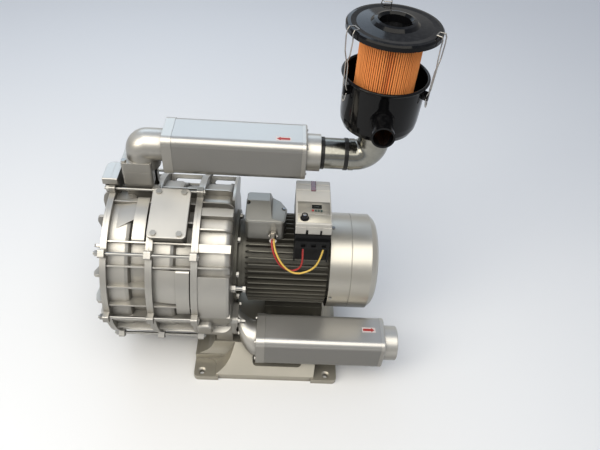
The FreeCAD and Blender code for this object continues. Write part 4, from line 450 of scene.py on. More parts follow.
@dataclass(frozen=True)
class SheetPaint(Finish):
    """Smooth silver coating on an extruded box, with faint draw lines along the shaft."""

    sheen: float = 0.3
    metallic: float = 0.75
    draw_lines: float = 260.0
    line_depth: float = 0.000006
    dull_tone: float = 0.94
    # Tone of the painted shade on faces that look sideways or down.
    side_shade_tone: float = 0.36
    blotches: float = 7.0
    line_swing: float = 0.04
    swing: float = 0.06

    def build(self) -> bpy.types.Material:
        """Builds the coating's material.

        Returns:
            The material.
        """
        shader = Shader(self.name)
        lines = shader.noise(self.draw_lines, 2.0, (0.02, 1.0, 1.0))
        blotch = shader.noise(self.blotches, 3.0)
        coat = shader.mix(blotch.step(*PATCHES), scaled(self.colour, self.dull_tone), self.colour)
        # Painted shade darkens faces that look sideways or down.
        shader.feed("Base Color", shader.shaded_sides(self.side_shade_tone, self.colour, coat))
        shader.constant(Metallic=self.metallic)
        varied = self.line_swing * (lines - MIDDLE)
        shader.feed("Roughness", self.sheen + varied + self.swing * (blotch - MIDDLE))
        shader.relief(lines, self.line_depth)
        return shader.material


@dataclass(frozen=True)
class BareMetal(Finish):
    """Plated or bare steel that was drawn, turned or dipped."""

    tooling: Tooling = Tooling.DRAWN
    sheen: float = 0.3
    tarnish: Colour = (0.05, 0.045, 0.035)
    tarnish_share: float = 0.7
    corner_reach: float = 0.012
    dark_tone: float = 0.8
    blotches: float = 30.0
    swing: float = 0.12

    def marks(self, shader: Shader) -> Value:
        """Makes what the tooling left on the surface.

        Args:
            shader: The material's shader.

        Returns:
            The marks, from 0 to 1.
        """
        if self.tooling is Tooling.SPANGLED:
            return shader.part(shader.cells(90.0).outputs["Color"], 0)
        if self.tooling is Tooling.TURNED:
            return shader.noise(900.0, 2.0, (1.0, 0.04, 0.04))
        return shader.noise(500.0, 2.0)

    def build(self) -> bpy.types.Material:
        """Builds the metal's material.

        Returns:
            The material.
        """
        shader = Shader(self.name)
        blotch = shader.noise(self.blotches, 4.0)
        tone = self.marks(shader)
        metal = shader.mix(tone.step(0.25, 0.75), scaled(self.colour, self.dark_tone), self.colour)
        corner = shader.recess(self.corner_reach).step(0.35, 0.95)
        shader.feed("Base Color", shader.mix(corner * self.tarnish_share, metal, self.tarnish))
        shader.constant(Metallic=1.0)
        shader.feed("Roughness", self.sheen + self.swing * (blotch - MIDDLE))
        shader.relief(tone, MARK_DEPTHS[self.tooling])
        return shader.material


@dataclass(frozen=True)
class GlossPaint(Finish):
    """Deep glossy enamel with a faint orange peel and a little dust on top."""

    sheen: float = 0.09
    coat: float = 0.08
    coat_sheen: float = 0.04
    gloss: float = 0.15
    dust: float = 0.05
    dust_colour: Colour = (0.20, 0.20, 0.21)
    dust_sheen: float = 0.3
    dust_grain: float = 90.0
    peel_grain: float = 120.0
    peel_depth: float = 0.00005
    peel_swing: float = 0.06

    def build(self) -> bpy.types.Material:
        """Builds the enamel's material.

        Returns:
            The material.
        """
        shader = Shader(self.name)
        shader.constant(Metallic=0.0, Specular_IOR_Level=self.gloss, Coat_Weight=self.coat,
                        Coat_Roughness=self.coat_sheen)
        peel = shader.noise(self.peel_grain, 2.0)
        specks = shader.noise(self.dust_grain, 6.0).step(0.45, 0.8)
        dust = (shader.upness().step(0.4, 1.0) * specks).clamped() * self.dust
        shader.feed("Base Color", shader.mix(dust, self.colour, self.dust_colour))
        shader.feed("Roughness", self.sheen + self.dust_sheen * dust + self.peel_swing * (peel - MIDDLE))
        shader.relief(peel, self.peel_depth)
        return shader.material


@dataclass(frozen=True)
class Moulding(Finish):
    """Moulded plastic with a fine spark-eroded grain."""

    sheen: float = 0.42
    grain: float = 1500.0
    depth: float = 0.00006
    gloss: float = 0.5
    dull_tone: float = 0.9
    blotches: float = 24.0
    swing: float = 0.12

    def build(self) -> bpy.types.Material:
        """Builds the plastic's material.

        Returns:
            The material.
        """
        shader = Shader(self.name)
        shader.constant(Metallic=0.0, Specular_IOR_Level=self.gloss)
        grain = shader.noise(self.grain, 2.0)
        blotch = shader.noise(self.blotches, 3.0)
        dull = scaled(self.colour, self.dull_tone)
        shader.feed("Base Color", shader.mix(blotch.step(*PATCHES), dull, self.colour))
        shader.feed("Roughness", self.sheen + self.swing * (blotch - MIDDLE))
        shader.relief(grain, self.depth)
        return shader.material


@dataclass(frozen=True)
class ClearLens(Finish):
    """A tinted glossy window over a dark inside."""

    sheen: float = 0.06
    coat_sheen: float = 0.03
    deep_tone: float = 0.6
    swirls: float = 60.0
    swing: float = 0.05

    def build(self) -> bpy.types.Material:
        """Builds the lens's material.

        Returns:
            The material.
        """
        shader = Shader(self.name)
        shader.constant(Metallic=0.0, Coat_Weight=1.0, Coat_Roughness=self.coat_sheen)
        swirl = shader.noise(self.swirls, 2.0)
        deep = scaled(self.colour, self.deep_tone)
        shader.feed("Base Color", shader.mix(swirl.step(*PATCHES), deep, self.colour))
        shader.feed("Roughness", self.sheen + self.swing * swirl)
        return shader.material


@dataclass(frozen=True)
class FilterPaper(Finish):
    """Resin-bonded orange paper, with fibres and painted shade in the valleys between pleats."""

    # Colour and share of the painted shade in the valleys between pleats.
    valley: Colour = (0.22, 0.05, 0.015)
    valley_shade_share: float = 0.75
    valley_reach: float = 0.005
    pale_tone: float = 1.12
    sheen: float = 0.78
    velvet: float = 0.05
    fibres: float = 900.0
    fibre_share: float = 0.7
    bands: float = 30.0
    swing: float = 0.1
    fuzz: float = 0.0001

    def build(self) -> bpy.types.Material:
        """Builds the paper's material.

        Returns:
            The material.
        """
        shader = Shader(self.name)
        shader.constant(Metallic=0.0, Sheen_Weight=self.velvet)
        fibre = shader.noise(self.fibres, 4.0, (1.0, 1.0, 0.25))
        bands = shader.noise(self.bands, 2.0, (1.0, 1.0, 0.1))
        # Painted shade darkens the valleys between pleats, found by ambient occlusion.
        shade = shader.recess(self.valley_reach).step(0.45, 0.95)
        tone = (self.fibre_share * fibre + (1.0 - self.fibre_share) * bands).step(0.35, 0.65)
        paper = shader.mix(tone, self.colour, scaled(self.colour, self.pale_tone))
        shader.feed("Base Color", shader.mix(shade * self.valley_shade_share, paper, self.valley))
        shader.feed("Roughness", self.sheen + self.swing * (fibre - MIDDLE))
        shader.relief(fibre, self.fuzz)
        return shader.material


@dataclass(frozen=True)
class Foam(Finish):
    """Open-cell foam."""

    pores: float = 700.0
    depth: float = 0.0004
    sheen: float = 0.85
    swing: float = 0.1
    pore_tone: float = 0.4

    def build(self) -> bpy.types.Material:
        """Builds the foam's material.

        Returns:
            The material.
        """
        shader = Shader(self.name)
        shader.constant(Metallic=0.0)
        pore = Value(shader.tree, shader.cells(self.pores).outputs["Distance"])
        dark = scaled(self.colour, self.pore_tone)
        shader.feed("Base Color", shader.mix(pore.step(0.1, 0.6), self.colour, dark))
        shader.feed("Roughness", self.sheen + self.swing * pore)
        shader.relief(pore, self.depth)
        return shader.material


@dataclass(frozen=True)
class Insulation(Finish):
    """Extruded wire sleeve, with slight scuffs along its run."""

    sheen: float = 0.34
    swing: float = 0.2
    scuffs: float = 160.0
    scuff_tone: float = 1.25
    scuff_chalk: float = 0.02
    scuff_share: float = 0.5
    scuff_depth: float = 0.00008

    def build(self) -> bpy.types.Material:
        """Builds the sleeve's material.

        Returns:
            The material.
        """
        shader = Shader(self.name)
        shader.constant(Metallic=0.0)
        scuff = shader.noise(self.scuffs, 4.0)
        pale = tuple(min(1.0, part * self.scuff_tone + self.scuff_chalk) for part in self.colour)
        shader.feed("Base Color", shader.mix(scuff.step(0.5, 0.75) * self.scuff_share, self.colour, pale))
        shader.feed("Roughness", self.sheen + self.swing * (scuff - MIDDLE))
        shader.relief(scuff, self.scuff_depth)
        return shader.material


@dataclass(frozen=True)
class Laminated(Finish):
    """Stacked sheet steel, seen edge on."""

    sheet: float = 0.0015
    gap_depth: float = 0.0001
    gap_tone: float = 0.5
    sheen: float = 0.4
    swing: float = 0.1

    def build(self) -> bpy.types.Material:
        """Builds the stack's material.

        Returns:
            The material.
        """
        shader = Shader(self.name)
        along = shader.part(shader.place, 0)
        stack = (along * (2.0 * math.pi / self.sheet)).wave() * 0.5 + 0.5
        shader.feed("Base Color", shader.mix(stack, scaled(self.colour, self.gap_tone), self.colour))
        shader.constant(Metallic=0.9)
        shader.feed("Roughness", self.sheen + self.swing * stack)
        shader.relief(stack, self.gap_depth)
        return shader.material


@dataclass(frozen=True)
class Backdrop(Finish):
    """The floor, pale to the camera, in gloss and through glass, that throws little light back."""

    bounce: float = 0.2

    def build(self) -> bpy.types.Material:
        """Builds the floor's material.

        Returns:
            The material.
        """
        shader = Shader(self.name)
        shader.constant(Roughness=0.9, Specular_IOR_Level=0.1)
        shader.feed("Base Color", shader.mix(shader.seen(), scaled(self.colour, self.bounce), self.colour))
        return shader.material


class FinishBook:
    """All the finishes, each made once and looked up by its material slot."""

    FINISHES: tuple[Finish, ...] = (
        CastPaint("cast_paint", (0.68, 0.655, 0.60)),
        CastPaint("terminal_paint", (0.33, 0.325, 0.30), grain=520.0, sheen=0.34, metallic=0.6, side_shade_tone=0.8),
        CastPaint("base_paint", (0.46, 0.43, 0.36), grain=300.0, depth=0.0002, sheen=0.36, metallic=0.65,
                  side_shade_tone=1.0),
        CastPaint("motor_paint", (0.155, 0.148, 0.122), grain=520.0, depth=0.00012, sheen=0.38, metallic=0.5,
                  side_shade_tone=0.9),
        CastPaint("cowl_paint", (0.62, 0.59, 0.52), grain=700.0, depth=0.00002, sheen=0.32, metallic=0.8,
                  side_shade_tone=0.6),
        SheetPaint("box_paint", (0.56, 0.545, 0.51)),
        BareMetal("zinc", (0.46, 0.45, 0.42), Tooling.DRAWN, 0.3),
        BareMetal("wire_zinc", (0.45, 0.43, 0.40), Tooling.DRAWN, 0.22),
        BareMetal("galvanised", (0.27, 0.265, 0.235), Tooling.SPANGLED, 0.2, dark_tone=0.9),
        BareMetal("dark_steel", (0.30, 0.30, 0.30), Tooling.TURNED, 0.3),
        BareMetal("bearing_steel", (0.62, 0.62, 0.63), Tooling.TURNED, 0.16),
        BareMetal("bracket_steel", (0.50, 0.50, 0.50), Tooling.SPANGLED, 0.32),
        BareMetal("gland_metal", (0.72, 0.68, 0.62), Tooling.TURNED, 0.24),
        CastPaint("impeller_alloy", (0.70, 0.71, 0.72), grain=600.0, depth=0.0002, metallic=1.0, side_shade_tone=1.0),
        GlossPaint("gloss_black", (0.003, 0.003, 0.0035)),
        GlossPaint("band_black", (0.02, 0.02, 0.02), sheen=0.25, dust=0.1),
        GlossPaint("knob_black", (0.012, 0.012, 0.014), sheen=0.12, dust=0.02),
        Laminated("lamination", (0.40, 0.36, 0.32)),
        Foam("liner_foam", (0.14, 0.14, 0.14)),
        FilterPaper("paper_orange", (0.92, 0.33, 0.09)),
        Moulding("case_grey", (0.57, 0.555, 0.52)),
        Moulding("case_black", (0.007, 0.007, 0.0075), sheen=0.4, gloss=0.15),
        Moulding("key_blue", (0.035, 0.075, 0.07)),
        Moulding("key_red", (0.42, 0.03, 0.03)),
        Moulding("terminal_brown", (0.16, 0.10, 0.07)),
        Moulding("fan_plastic", (0.05, 0.05, 0.055)),
        Moulding("arrow_red", (0.40, 0.035, 0.03), sheen=0.5, depth=0.00002),
        Moulding("mark_white", (0.66, 0.58, 0.56), sheen=0.45, depth=0.00002),
        Moulding("digit_grey", (0.10, 0.11, 0.11), sheen=0.5, depth=0.00002),
        Moulding("panel_white", (0.70, 0.66, 0.56), sheen=0.35, depth=0.00002),
        Moulding("plate_grey", (0.30, 0.285, 0.25), sheen=0.4, depth=0.00002),
        ClearLens("lens_red", (0.13, 0.006, 0.014)),
        ClearLens("display_dark", (0.012, 0.016, 0.016)),
        Insulation("wire_red", (0.42, 0.03, 0.028)),
        Insulation("wire_yellow", (0.74, 0.50, 0.10)),
        BareMetal("knob_cap", (0.75, 0.75, 0.76), Tooling.TURNED, 0.2),
    )

    def __init__(self) -> None:
        """Makes every material."""
        self.made = {finish.name: finish.build() for finish in self.FINISHES}

    def __getitem__(self, name: str) -> bpy.types.Material:
        """Returns a finish's material."""
        return self.made[name]


# Meshes


class Maker:
    """Gathers forms in one mesh and turns them into a piece."""

    def __init__(self, name: str) -> None:
        """Starts an empty mesh.

        Args:
            name: The piece's name.
        """
        self.name = name
        self.form = bmesh.new()

    def ring(self, points: Sequence[Vector]) -> list[bmesh.types.BMVert]:
        """Adds loose points and returns their vertices."""
        return [self.form.verts.new(point) for point in points]

    def skin(self, rings: Sequence[list[bmesh.types.BMVert]]) -> Maker:
        """Joins rings of equal count with faces.

        Args:
            rings: The rings in order, each of which closes on itself.

        Returns:
            The maker itself.
        """
        for first, second in zip(rings, rings[1:]):
            count = len(first)
            for step in range(count):
                after = (step + 1) % count
                self.form.faces.new((first[step], first[after], second[after], second[step]))
        return self

    def lathe(self, profile: Sequence[tuple[float, float]], centre: Vector, axis: Vector,
              steps: int = 64) -> Maker:
        """Turns a closed profile of (height, radius) about an axis.

        Args:
            profile: Points in order, with radii above zero.
            centre: Where the height is zero.
            axis: The axis of the turn.
            steps: Faces round the turn.

        Returns:
            The maker itself.
        """
        across = axis.orthogonal().normalized()
        other = axis.cross(across).normalized()
        angles = [2.0 * math.pi * step / steps for step in range(steps)]
        rings = []
        for height, radius in profile:
            middle = centre + axis * height
            rings.append(self.ring([middle + radius * (across * math.cos(a) + other * math.sin(a))
                                    for a in angles]))
        rings.append(rings[0])
        return self.skin(rings)

    def slab(self, outline: Sequence[Vector], rise: Vector) -> Maker:
        """Raises a flat outline into a closed plate.

        Args:
            outline: The corners of its lower face.
            rise: From its lower face to its upper one.

        Returns:
            The maker itself.
        """
        low = self.ring(outline)
        high = self.ring([point + rise for point in outline])
        self.form.faces.new(list(reversed(low)))
        self.form.faces.new(high)
        return self.skin([low, high])

    def piece(self, finish: str, book: FinishBook, body: str,
              angle: float = 35.0) -> bpy.types.Object:
        """Ends the mesh and rides it on a body.

        Args:
            finish: The finish's name.
            book: The finishes.
            body: The CAD body that carries the piece.
            angle: Sharper edges than this stay sharp, in degrees.

        Returns:
            The piece.
        """
        bmesh.ops.recalc_face_normals(self.form, faces=self.form.faces)
        mesh = bpy.data.meshes.new(self.name)
        self.form.to_mesh(mesh)
        self.form.free()
        made = bpy.data.objects.new(self.name, mesh)
        bpy.context.scene.collection.objects.link(made)
        made.data.materials.append(book[finish])
        mesh.shade_smooth()
        mesh.set_sharp_from_angle(angle=math.radians(angle))
        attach(made, body)
        LOG.info("made %s", self.name)
        return made


# Studio


@dataclass(frozen=True)
class Lamp:
    """A soft area lamp, with its sides in metres and its power in watts."""

    name: str
    place: Point
    target: Point
    width: float
    depth: float
    power: float
    colour: Colour

    def hang(self) -> None:
        """Hangs the lamp at its place and points it at its target."""
        data = bpy.data.lights.new(self.name, "AREA")
        data.shape = "RECTANGLE"
        data.size = self.width
        data.size_y = self.depth
        data.energy = self.power
        data.color = self.colour
        made = bpy.data.objects.new(self.name, data)
        made.location = self.place
        gaze = Vector(self.target) - Vector(self.place)
        made.rotation_euler = gaze.to_track_quat("-Z", "Y").to_euler()
        bpy.context.scene.collection.objects.link(made)


@dataclass
class Studio:
    """The camera at the photograph's place, the pale floor, the world and the lamps."""

    camera_at: Point = (0.0148, -1.29435, 1.7256)
    lens: float = 33.72
    sensor: float = 36.0
    near: float = 0.05
    yaw: float = 0.062
    pitch: float = 0.771
    roll: float = 0.089
    floor_half: float = 14.0
    floor_colour: Colour = (0.88, 0.88, 0.88)
    horizon: Colour = (0.52, 0.50, 0.46)
    zenith: Colour = (0.37, 0.43, 0.54)
    zenith_from: float = 0.9
    lamps: tuple[Lamp, ...] = (
        Lamp("overhead", (-0.2, -1.2, 2.75), (0.0, -0.1, 0.4), 3.0, 2.3, 52.0, (1.0, 0.94, 0.82)),
        Lamp("window", (-2.4, -1.6, 2.3), (-0.1, 0.0, 0.4), 1.4, 1.8, 36.0, (1.0, 0.93, 0.80)),
        Lamp("back", (-0.75, 2.4, 2.4), (-0.4, 0.0, 0.6), 2.7, 1.2, 14.0, (0.66, 0.82, 1.0)),
    )

    def build(self) -> None:
        """Makes everything that isn't part of the blower."""
        self.camera()
        self.floor()
        self.world()
        for lamp in self.lamps:
            lamp.hang()
        bpy.context.scene.view_settings.view_transform = "Standard"

    def camera(self) -> None:
        """Places the camera as the photograph was taken."""
        ahead = Vector((math.sin(self.yaw), math.cos(self.yaw), 0.0))
        side = Vector((math.cos(self.yaw), -math.sin(self.yaw), 0.0))
        rise = Vector((0.0, 0.0, 1.0))
        gaze = math.cos(self.pitch) * ahead - math.sin(self.pitch) * rise
        top = math.sin(self.pitch) * ahead + math.cos(self.pitch) * rise
        right = math.cos(self.roll) * side + math.sin(self.roll) * top
        upper = math.cos(self.roll) * top - math.sin(self.roll) * side
        data = bpy.data.cameras.new("camera")
        data.lens = self.lens
        data.sensor_width = self.sensor
        data.clip_start = self.near
        eye = bpy.data.objects.new("camera", data)
        turn = Matrix((right, upper, -gaze)).transposed().to_4x4()
        eye.matrix_world = Matrix.Translation(self.camera_at) @ turn
        bpy.context.scene.collection.objects.link(eye)
        bpy.context.scene.camera = eye

    def floor(self) -> None:
        """Lays the floor at the height of the base's feet."""
        reach = self.floor_half
        mesh = bpy.data.meshes.new("floor")
        square = [(-reach, -reach, 0.0), (reach, -reach, 0.0), (reach, reach, 0.0), (-reach, reach, 0.0)]
        mesh.from_pydata(square, [], [(0, 1, 2, 3)])
        mesh.materials.append(Backdrop("floor_paint", self.floor_colour).build())
        made = bpy.data.objects.new("floor", mesh)
        bpy.context.scene.collection.objects.link(made)

    def world(self) -> None:
        """Sets a soft world, paler and warmer at the horizon than above."""
        world = bpy.data.worlds.new("studio")
        world.use_nodes = True
        tree = Tree(world.node_tree)
        rise = tree.part(tree.node("ShaderNodeTexCoord", {}, {}).outputs["Generated"], 2)
        sky = tree.mix(rise.step(0.0, self.zenith_from), self.horizon, self.zenith)
        tree.join(sky, tree.tree.nodes["Background"].inputs["Color"])
        bpy.context.scene.world = world


# Sub-assemblies


@dataclass
class SubAssembly:
    """CAD nodes that share a place on the blower, and the pieces added to them."""

    frame: dict[str, Any]
    book: FinishBook
    nodes: tuple[str, ...] = ()
    own: dict[str, str] = field(default_factory=dict)

    def dress(self) -> None:
        """Gives each CAD node its own finish, or else that of its material slot."""
        slots = {part["node"]: part["material_slot"] for part in self.frame["record"]["subparts"]}
        for name in self.nodes:
            part = self.frame["nodes"][name]
            part.data.materials.clear()
            finish = self.own.get(name, slots[name])
            part.data.materials.append(self.book[finish])
            LOG.info("dressed %s in %s", name, finish)

    def build(self) -> None:
        """Dresses the nodes and makes the pieces."""
        self.dress()


@dataclass
class Casing(SubAssembly):
    """Cover, stage housings, drive housing, transfer cover, tie rods and rotor."""

    nodes: tuple[str, ...] = ("outboard_cover", "stage_housing_1", "stage_housing_2", "drive_housing",
                              "transfer_cover", "tie_rods", "hex_bolts", "main_shaft", "impeller_1",
                              "impeller_2", "impeller_3", "bearings")


@dataclass
class Base(SubAssembly):
    """The base casting."""

    nodes: tuple[str, ...] = ("base_frame",)


@dataclass
class Silencers(SubAssembly):
    """Both silencers, their elbow and connector, and a flow arrow on each box."""

    nodes: tuple[str, ...] = ("inlet_elbow", "inlet_end_plate", "inlet_silencer_body", "inlet_end_cap",
                              "outlet_end_plate", "outlet_silencer_body", "outlet_end_cap",
                              "silencer_liners", "outlet_connector")
    arrow_length: float = 0.038
    arrow_width: float = 0.017
    shaft_width: float = 0.0095
    head_length: float = 0.011
    margin: float = 0.003
    side_margin: float = 0.0015
    ink: float = 0.00012
    inlet_mark: tuple[float, float] = (0.0278, 0.019)
    outlet_mark: tuple[float, float] = (0.3365, -0.219)

    def build(self) -> None:
        """Dresses the silencers and prints the arrows."""
        super().build()
        self.arrow("inlet_arrow", "inlet_silencer_body", -1.0, self.inlet_mark)
        self.arrow("outlet_arrow", "outlet_silencer_body", 1.0, self.outlet_mark)

    def arrow(self, name: str, node: str, way: float, at: tuple[float, float]) -> None:
        """Lays one arrow on a pale backing on the top face of a silencer's box.

        Args:
            name: The piece's name.
            node: The box's node.
            way: 1 points along +X, -1 along -X.
            at: The arrow's middle.
        """
        middle = Vector((*at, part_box(node)[1].z))
        half, body = self.arrow_length / 2.0, self.shaft_width / 2.0
        neck, wing = half - self.head_length, self.arrow_width / 2.0
        outline = ((-half, -body), (neck, -body), (neck, -wing), (half, 0.0),
                   (neck, wing), (neck, body), (-half, body))
        reach, side = half + self.margin, wing + self.side_margin
        backing = ((-reach, -side), (reach, -side), (reach, side), (-reach, side))
        for title, form, lift, finish in ((name + "_backing", backing, 0.0, "mark_white"),
                                          (name, outline, self.ink, "arrow_red")):
            maker = Maker(title)
            outer = [middle + Vector((way * along, across, lift)) for along, across in form]
            maker.slab(outer, Vector((0.0, 0.0, self.ink)))
            maker.piece(finish, self.book, "blower")


@dataclass
class InletFilter(SubAssembly):
    """Sleeve, elbow, canister, lid, latches and the pleated element."""

    nodes: tuple[str, ...] = ("filter_sleeve", "sleeve_bands", "filter_elbow", "filter_canister",
                              "filter_element", "filter_lid", "latch_left", "lever_left", "latch_right",
                              "lever_right", "latch_back", "lever_back")
    pleats: int = 84
    pleat_depth: float = 0.011
    paper_wall: float = 0.0006
    paper_inset: float = 0.0012
    cap_height: float = 0.009
    cap_round: float = 0.003
    cap_grip: float = 0.001
    cap_wall: float = 0.012
    cap_faces: int = 96
    levels: int = 14
    ripple: float = 0.0005
    ripple_rise: float = 7.0
    ripple_shift: float = 3.0
    crest: float = 0.66
    crease_angle: float = 24.0
    crest_bends: tuple[tuple[float, float], ...] = ((0.0, 0.12), (0.25, 0.02), (0.5, 0.0), (0.75, 0.02),
                                                    (1.0, 0.12))
    valley_bends: tuple[float, ...] = (0.35, 0.65)
    gap_angle: float = 261.0
    gap_spread: float = 7.0
    gap_narrows: float = 0.38

    def build(self) -> None:
        """Dresses the filter and makes the element."""
        super().build()
        self.element()

    def element(self) -> None:
        """Makes the pleated paper between two moulded rings, in place of the plain CAD one."""
        low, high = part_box("filter_element")
        centre = Vector(((low.x + high.x) / 2.0, (low.y + high.y) / 2.0, 0.0))
        radius = (high.x - low.x) / 2.0
        paper = Maker("element_paper")
        rings = []
        floor_z = low.z + self.cap_height - self.cap_grip
        roof_z = high.z - self.cap_height + self.cap_grip
        for level in range(self.levels + 1):
            share = level / self.levels
            height = floor_z + (roof_z - floor_z) * share
            rings.append(paper.ring([centre + Vector((r * math.cos(a), r * math.sin(a), height))
                                     for r, a in self.zigzag(radius - self.paper_inset, share)]))
        paper.skin(rings)
        made = paper.piece("paper_orange", self.book, "blower", self.crease_angle)
        made.modifiers.new("wall", "SOLIDIFY").thickness = self.paper_wall
        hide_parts("filter_element")
        inner = radius - self.pleat_depth - self.cap_wall
        bend = self.cap_round
        profile = ((0.0, inner), (0.0, radius - bend), (bend * 0.3, radius - bend * 0.3), (bend, radius),
                   (self.cap_height, radius), (self.cap_height, inner))
        for name, base, rise in (("element_foot", low.z, 1.0), ("element_head", high.z, -1.0)):
            ring = Maker(name)
            foot = Vector((centre.x, centre.y, base))
            ring.lathe(profile, foot, Vector((0.0, 0.0, rise)), self.cap_faces)
            ring.piece("gloss_black", self.book, "blower")

    def zigzag(self, radius: float, share: float) -> list[tuple[float, float]]:
        """Works out the folded paper's outline at one height.

        Args:
            radius: The outer radius.
            share: The height as a share of the element's.

        Returns:
            Radius and angle of each point.
        """
        points = []
        gap = math.radians(self.gap_angle)
        spread = math.radians(self.gap_spread)
        for fold in range(self.pleats):
            start = 2.0 * math.pi * fold / self.pleats
            away = math.remainder(start - gap, 2.0 * math.pi)
            crest = self.crest - self.gap_narrows * math.exp(-(away / spread) ** 2)
            valley = 1.0 - crest
            phase = self.ripple_rise * share + self.ripple_shift * fold
            wobble = self.ripple * math.sin(phase) * math.sin(math.pi * share)
            bends = [(part * crest, depth) for part, depth in self.crest_bends]
            bends += [(crest + part * valley, 1.0) for part in self.valley_bends]
            for part, depth in bends:
                angle = start + 2.0 * math.pi * part / self.pleats
                points.append((radius - self.pleat_depth * depth - abs(wobble), angle + wobble / radius))
        return points


@dataclass
class Motor(SubAssembly):
    """Motor, its support block, terminal box and gland."""

    nodes: tuple[str, ...] = ("motor_flange", "motor_housing", "fan_end_shield", "fan_cowl", "motor_foot",
                              "rotor_core", "stator_core", "cooling_fan", "terminal_box", "terminal_box_lid",
                              "terminal_block", "cable_gland", "small_screws")
    own: dict[str, str] = field(default_factory=lambda: {"terminal_box": "terminal_paint",
                                                         "terminal_box_lid": "terminal_paint"})


@dataclass
class Inverter(SubAssembly):
    """Speed inverter with its lens, display, knob and keys."""

    nodes: tuple[str, ...] = ("inverter_case", "inverter_face", "inverter_terminal_cover", "status_lens",
                              "display_window", "inverter_bracket", "speed_knob", "keypad_key_1",
                              "keypad_key_2", "keypad_key_3", "keypad_key_4")
    key_count: int = 4
    digit_count: int = 3
    stroke: float = 0.0005
    ink: float = 0.0001
    digit_height: float = 0.0052
    digit_width: float = 0.0032
    digit_pitch: float = 0.0048
    plate_x: tuple[float, float] = (0.080, 0.177)
    grey_y: tuple[float, float] = (-0.090, -0.036)
    white_y: tuple[float, float] = (-0.126, -0.0915)
    plate_gap: float = 0.0006
    cap_share: float = 0.24
    cap_proud: float = 0.0004
    cap_edge: float = 0.0002
    cap_core: float = 0.05
    cap_top: float = 0.9
    cap_faces: int = 40

    def build(self) -> None:
        """Dresses the inverter, and makes the plates, the display's unlit segments and the knob's cap."""
        super().build()
        keys = tuple(f"keypad_key_{number}" for number in range(1, self.key_count + 1))
        self.plate("keypad_plate", self.grey_y, "plate_grey", ("display_window", *keys))
        self.plate("blank_plate", self.white_y, "panel_white", ())
        self.digits()
        self.knob_cap()

    def plate(self, name: str, span: tuple[float, float], finish: str, rooms: tuple[str, ...]) -> None:
        """Lays a bare plate on the face, with room for what stands through it.

        The plate's edges and those of the rooms make a grid, whose cells outside the rooms get a face.

        Args:
            name: The piece's name.
            span: Its edges along Y.
            finish: The finish's name.
            rooms: Nodes that stand through the plate.
        """
        left, right = self.plate_x
        low, high = span
        xs = {left, right}
        ys = {low, high}
        holes = []
        for node in rooms:
            small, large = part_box(node)
            across = (small.x - self.plate_gap, large.x + self.plate_gap)
            along = (small.y - self.plate_gap, large.y + self.plate_gap)
            holes.append((across, along))
            xs.update(across)
            ys.update(along)
        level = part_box("inverter_face")[1].z
        maker = Maker(name)
        grid = {}
        columns, rows = sorted(xs), sorted(ys)
        for i, (x0, x1) in enumerate(zip(columns, columns[1:])):
            for j, (y0, y1) in enumerate(zip(rows, rows[1:])):
                x, y = (x0 + x1) / 2.0, (y0 + y1) / 2.0
                if any(wide[0] < x < wide[1] and deep[0] < y < deep[1] for wide, deep in holes):
                    continue
                ring = []
                for a, b in ((i, j), (i + 1, j), (i + 1, j + 1), (i, j + 1)):
                    if (a, b) not in grid:
                        grid[a, b] = maker.form.verts.new((columns[a], rows[b], level))
                    ring.append(grid[a, b])
                maker.form.faces.new(ring)
        made = maker.piece(finish, self.book, "blower")
        made.modifiers.new("thickness", "SOLIDIFY").thickness = -self.ink * 2.0

    def knob_cap(self) -> None:
        """Lets a pale disc into the knob's top."""
        low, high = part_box("speed_knob")
        centre = Vector(((low.x + high.x) / 2.0, (low.y + high.y) / 2.0, high.z))
        radius = (high.x - low.x) * self.cap_share
        core, top = radius * self.cap_core, self.cap_proud
        profile = ((-top, core), (-top, radius), (self.cap_edge, radius), (top, radius * self.cap_top),
                   (top, core))
        maker = Maker("knob_cap")
        maker.lathe(profile, centre, Vector((0.0, 0.0, 1.0)), self.cap_faces)
        maker.piece("knob_cap", self.book, "knob")

    def digits(self) -> None:
        """Lays unlit seven-segment digits on the display window."""
        low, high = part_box("display_window")
        middle = (low + high) / 2.0
        maker = Maker("display_segments")
        width, height, stroke = self.digit_width, self.digit_height, self.stroke
        for place in range(self.digit_count):
            x = middle.x + (place - (self.digit_count - 1) / 2.0) * self.digit_pitch
            for y in (-height / 2.0, 0.0, height / 2.0):
                self.bar(maker, Vector((x, middle.y + y, high.z)), width - stroke, stroke)
            for side in (-1.0, 1.0):
                for y in (-height / 4.0, height / 4.0):
                    at = Vector((x + side * width / 2.0, middle.y + y, high.z))
                    self.bar(maker, at, stroke, height / 2.0 - stroke)
        maker.piece("digit_grey", self.book, "blower")

    def bar(self, maker: Maker, middle: Vector, width: float, height: float) -> None:
        """Adds one segment of a digit to a mesh.

        Args:
            maker: The mesh's maker.
            middle: The middle of the segment's lower face.
            width: Its size along X.
            height: Its size along Y.
        """
        square = ((-0.5, -0.5), (0.5, -0.5), (0.5, 0.5), (-0.5, 0.5))
        outline = [middle + Vector((width * x, height * y, 0.0)) for x, y in square]
        maker.slab(outline, Vector((0.0, 0.0, self.ink)))


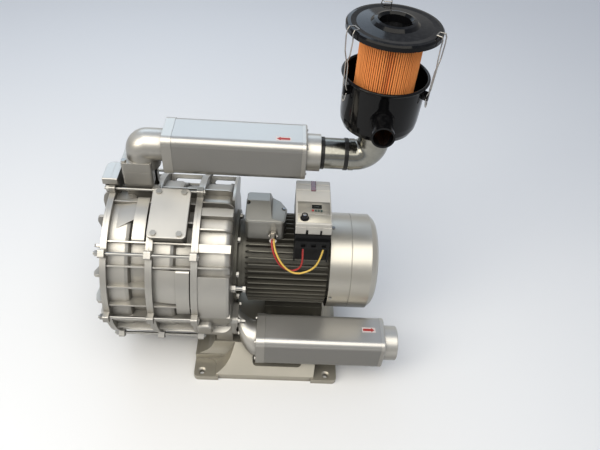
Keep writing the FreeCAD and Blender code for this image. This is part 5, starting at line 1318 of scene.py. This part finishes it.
@dataclass(frozen=True)
class Wire:
    """One motor wire from the gland to the inverter, with its CAD route in millimetres."""

    node: str
    finish: str
    diameter: float
    route: tuple[Point, ...]
    length: float

    def build(self, book: FinishBook) -> None:
        """Makes the wire as a smooth curve through the CAD route's points.

        Args:
            book: The finishes.
        """
        data = bpy.data.curves.new(self.node + "_run", "CURVE")
        data.dimensions = "3D"
        data.bevel_depth = self.diameter / 2.0
        data.bevel_resolution = 5
        data.resolution_u = 16
        data.use_fill_caps = True
        spline = data.splines.new("NURBS")
        spline.points.add(len(self.route) - 1)
        for place, point in zip(spline.points, self.route):
            place.co = (*(part * MM for part in point), 1.0)
        spline.order_u = 3
        spline.use_endpoint_u = True
        made = bpy.data.objects.new(self.node + "_run", data)
        bpy.context.scene.collection.objects.link(made)
        made.data.materials.append(book[self.finish])
        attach(made, "blower")
        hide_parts(self.node)
        LOG.info("made %s", made.name)


@dataclass
class Wiring:
    """The motor's two wires."""

    book: FinishBook
    wires: tuple[Wire, ...] = (
        Wire("red_wire", "wire_red", 0.006, (
            (7.2, -89.4, 478.0), (7.2, -106.0, 477.0), (15.0, -125.0, 455.0), (36.0, -139.0, 420.0),
            (70.0, -146.0, 404.0), (99.0, -148.0, 423.0), (104.0, -147.0, 464.0), (101.0, -141.0, 509.3),
        ), 0.2428),
        Wire("yellow_wire", "wire_yellow", 0.006, (
            (14.0, -89.4, 478.0), (14.2, -106.0, 478.0), (23.0, -128.0, 460.0), (44.0, -147.0, 430.0),
            (80.0, -158.0, 406.0), (122.0, -158.0, 419.0), (154.0, -153.0, 453.0), (163.0, -141.0, 509.3),
        ), 0.275),
    )

    def build(self) -> None:
        """Makes both wires."""
        for wire in self.wires:
            wire.build(self.book)


# The whole


def main() -> None:
    """Builds the studio and then each sub-assembly on the frame."""
    logging.basicConfig(level=logging.INFO, format="%(message)s")
    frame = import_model()
    book = FinishBook()
    Studio().build()
    Wiring(book).build()
    for assembly in (Base, Casing, Silencers, InletFilter, Motor, Inverter):
        assembly(frame, book).build()


if __name__ == "__main__":
    main()
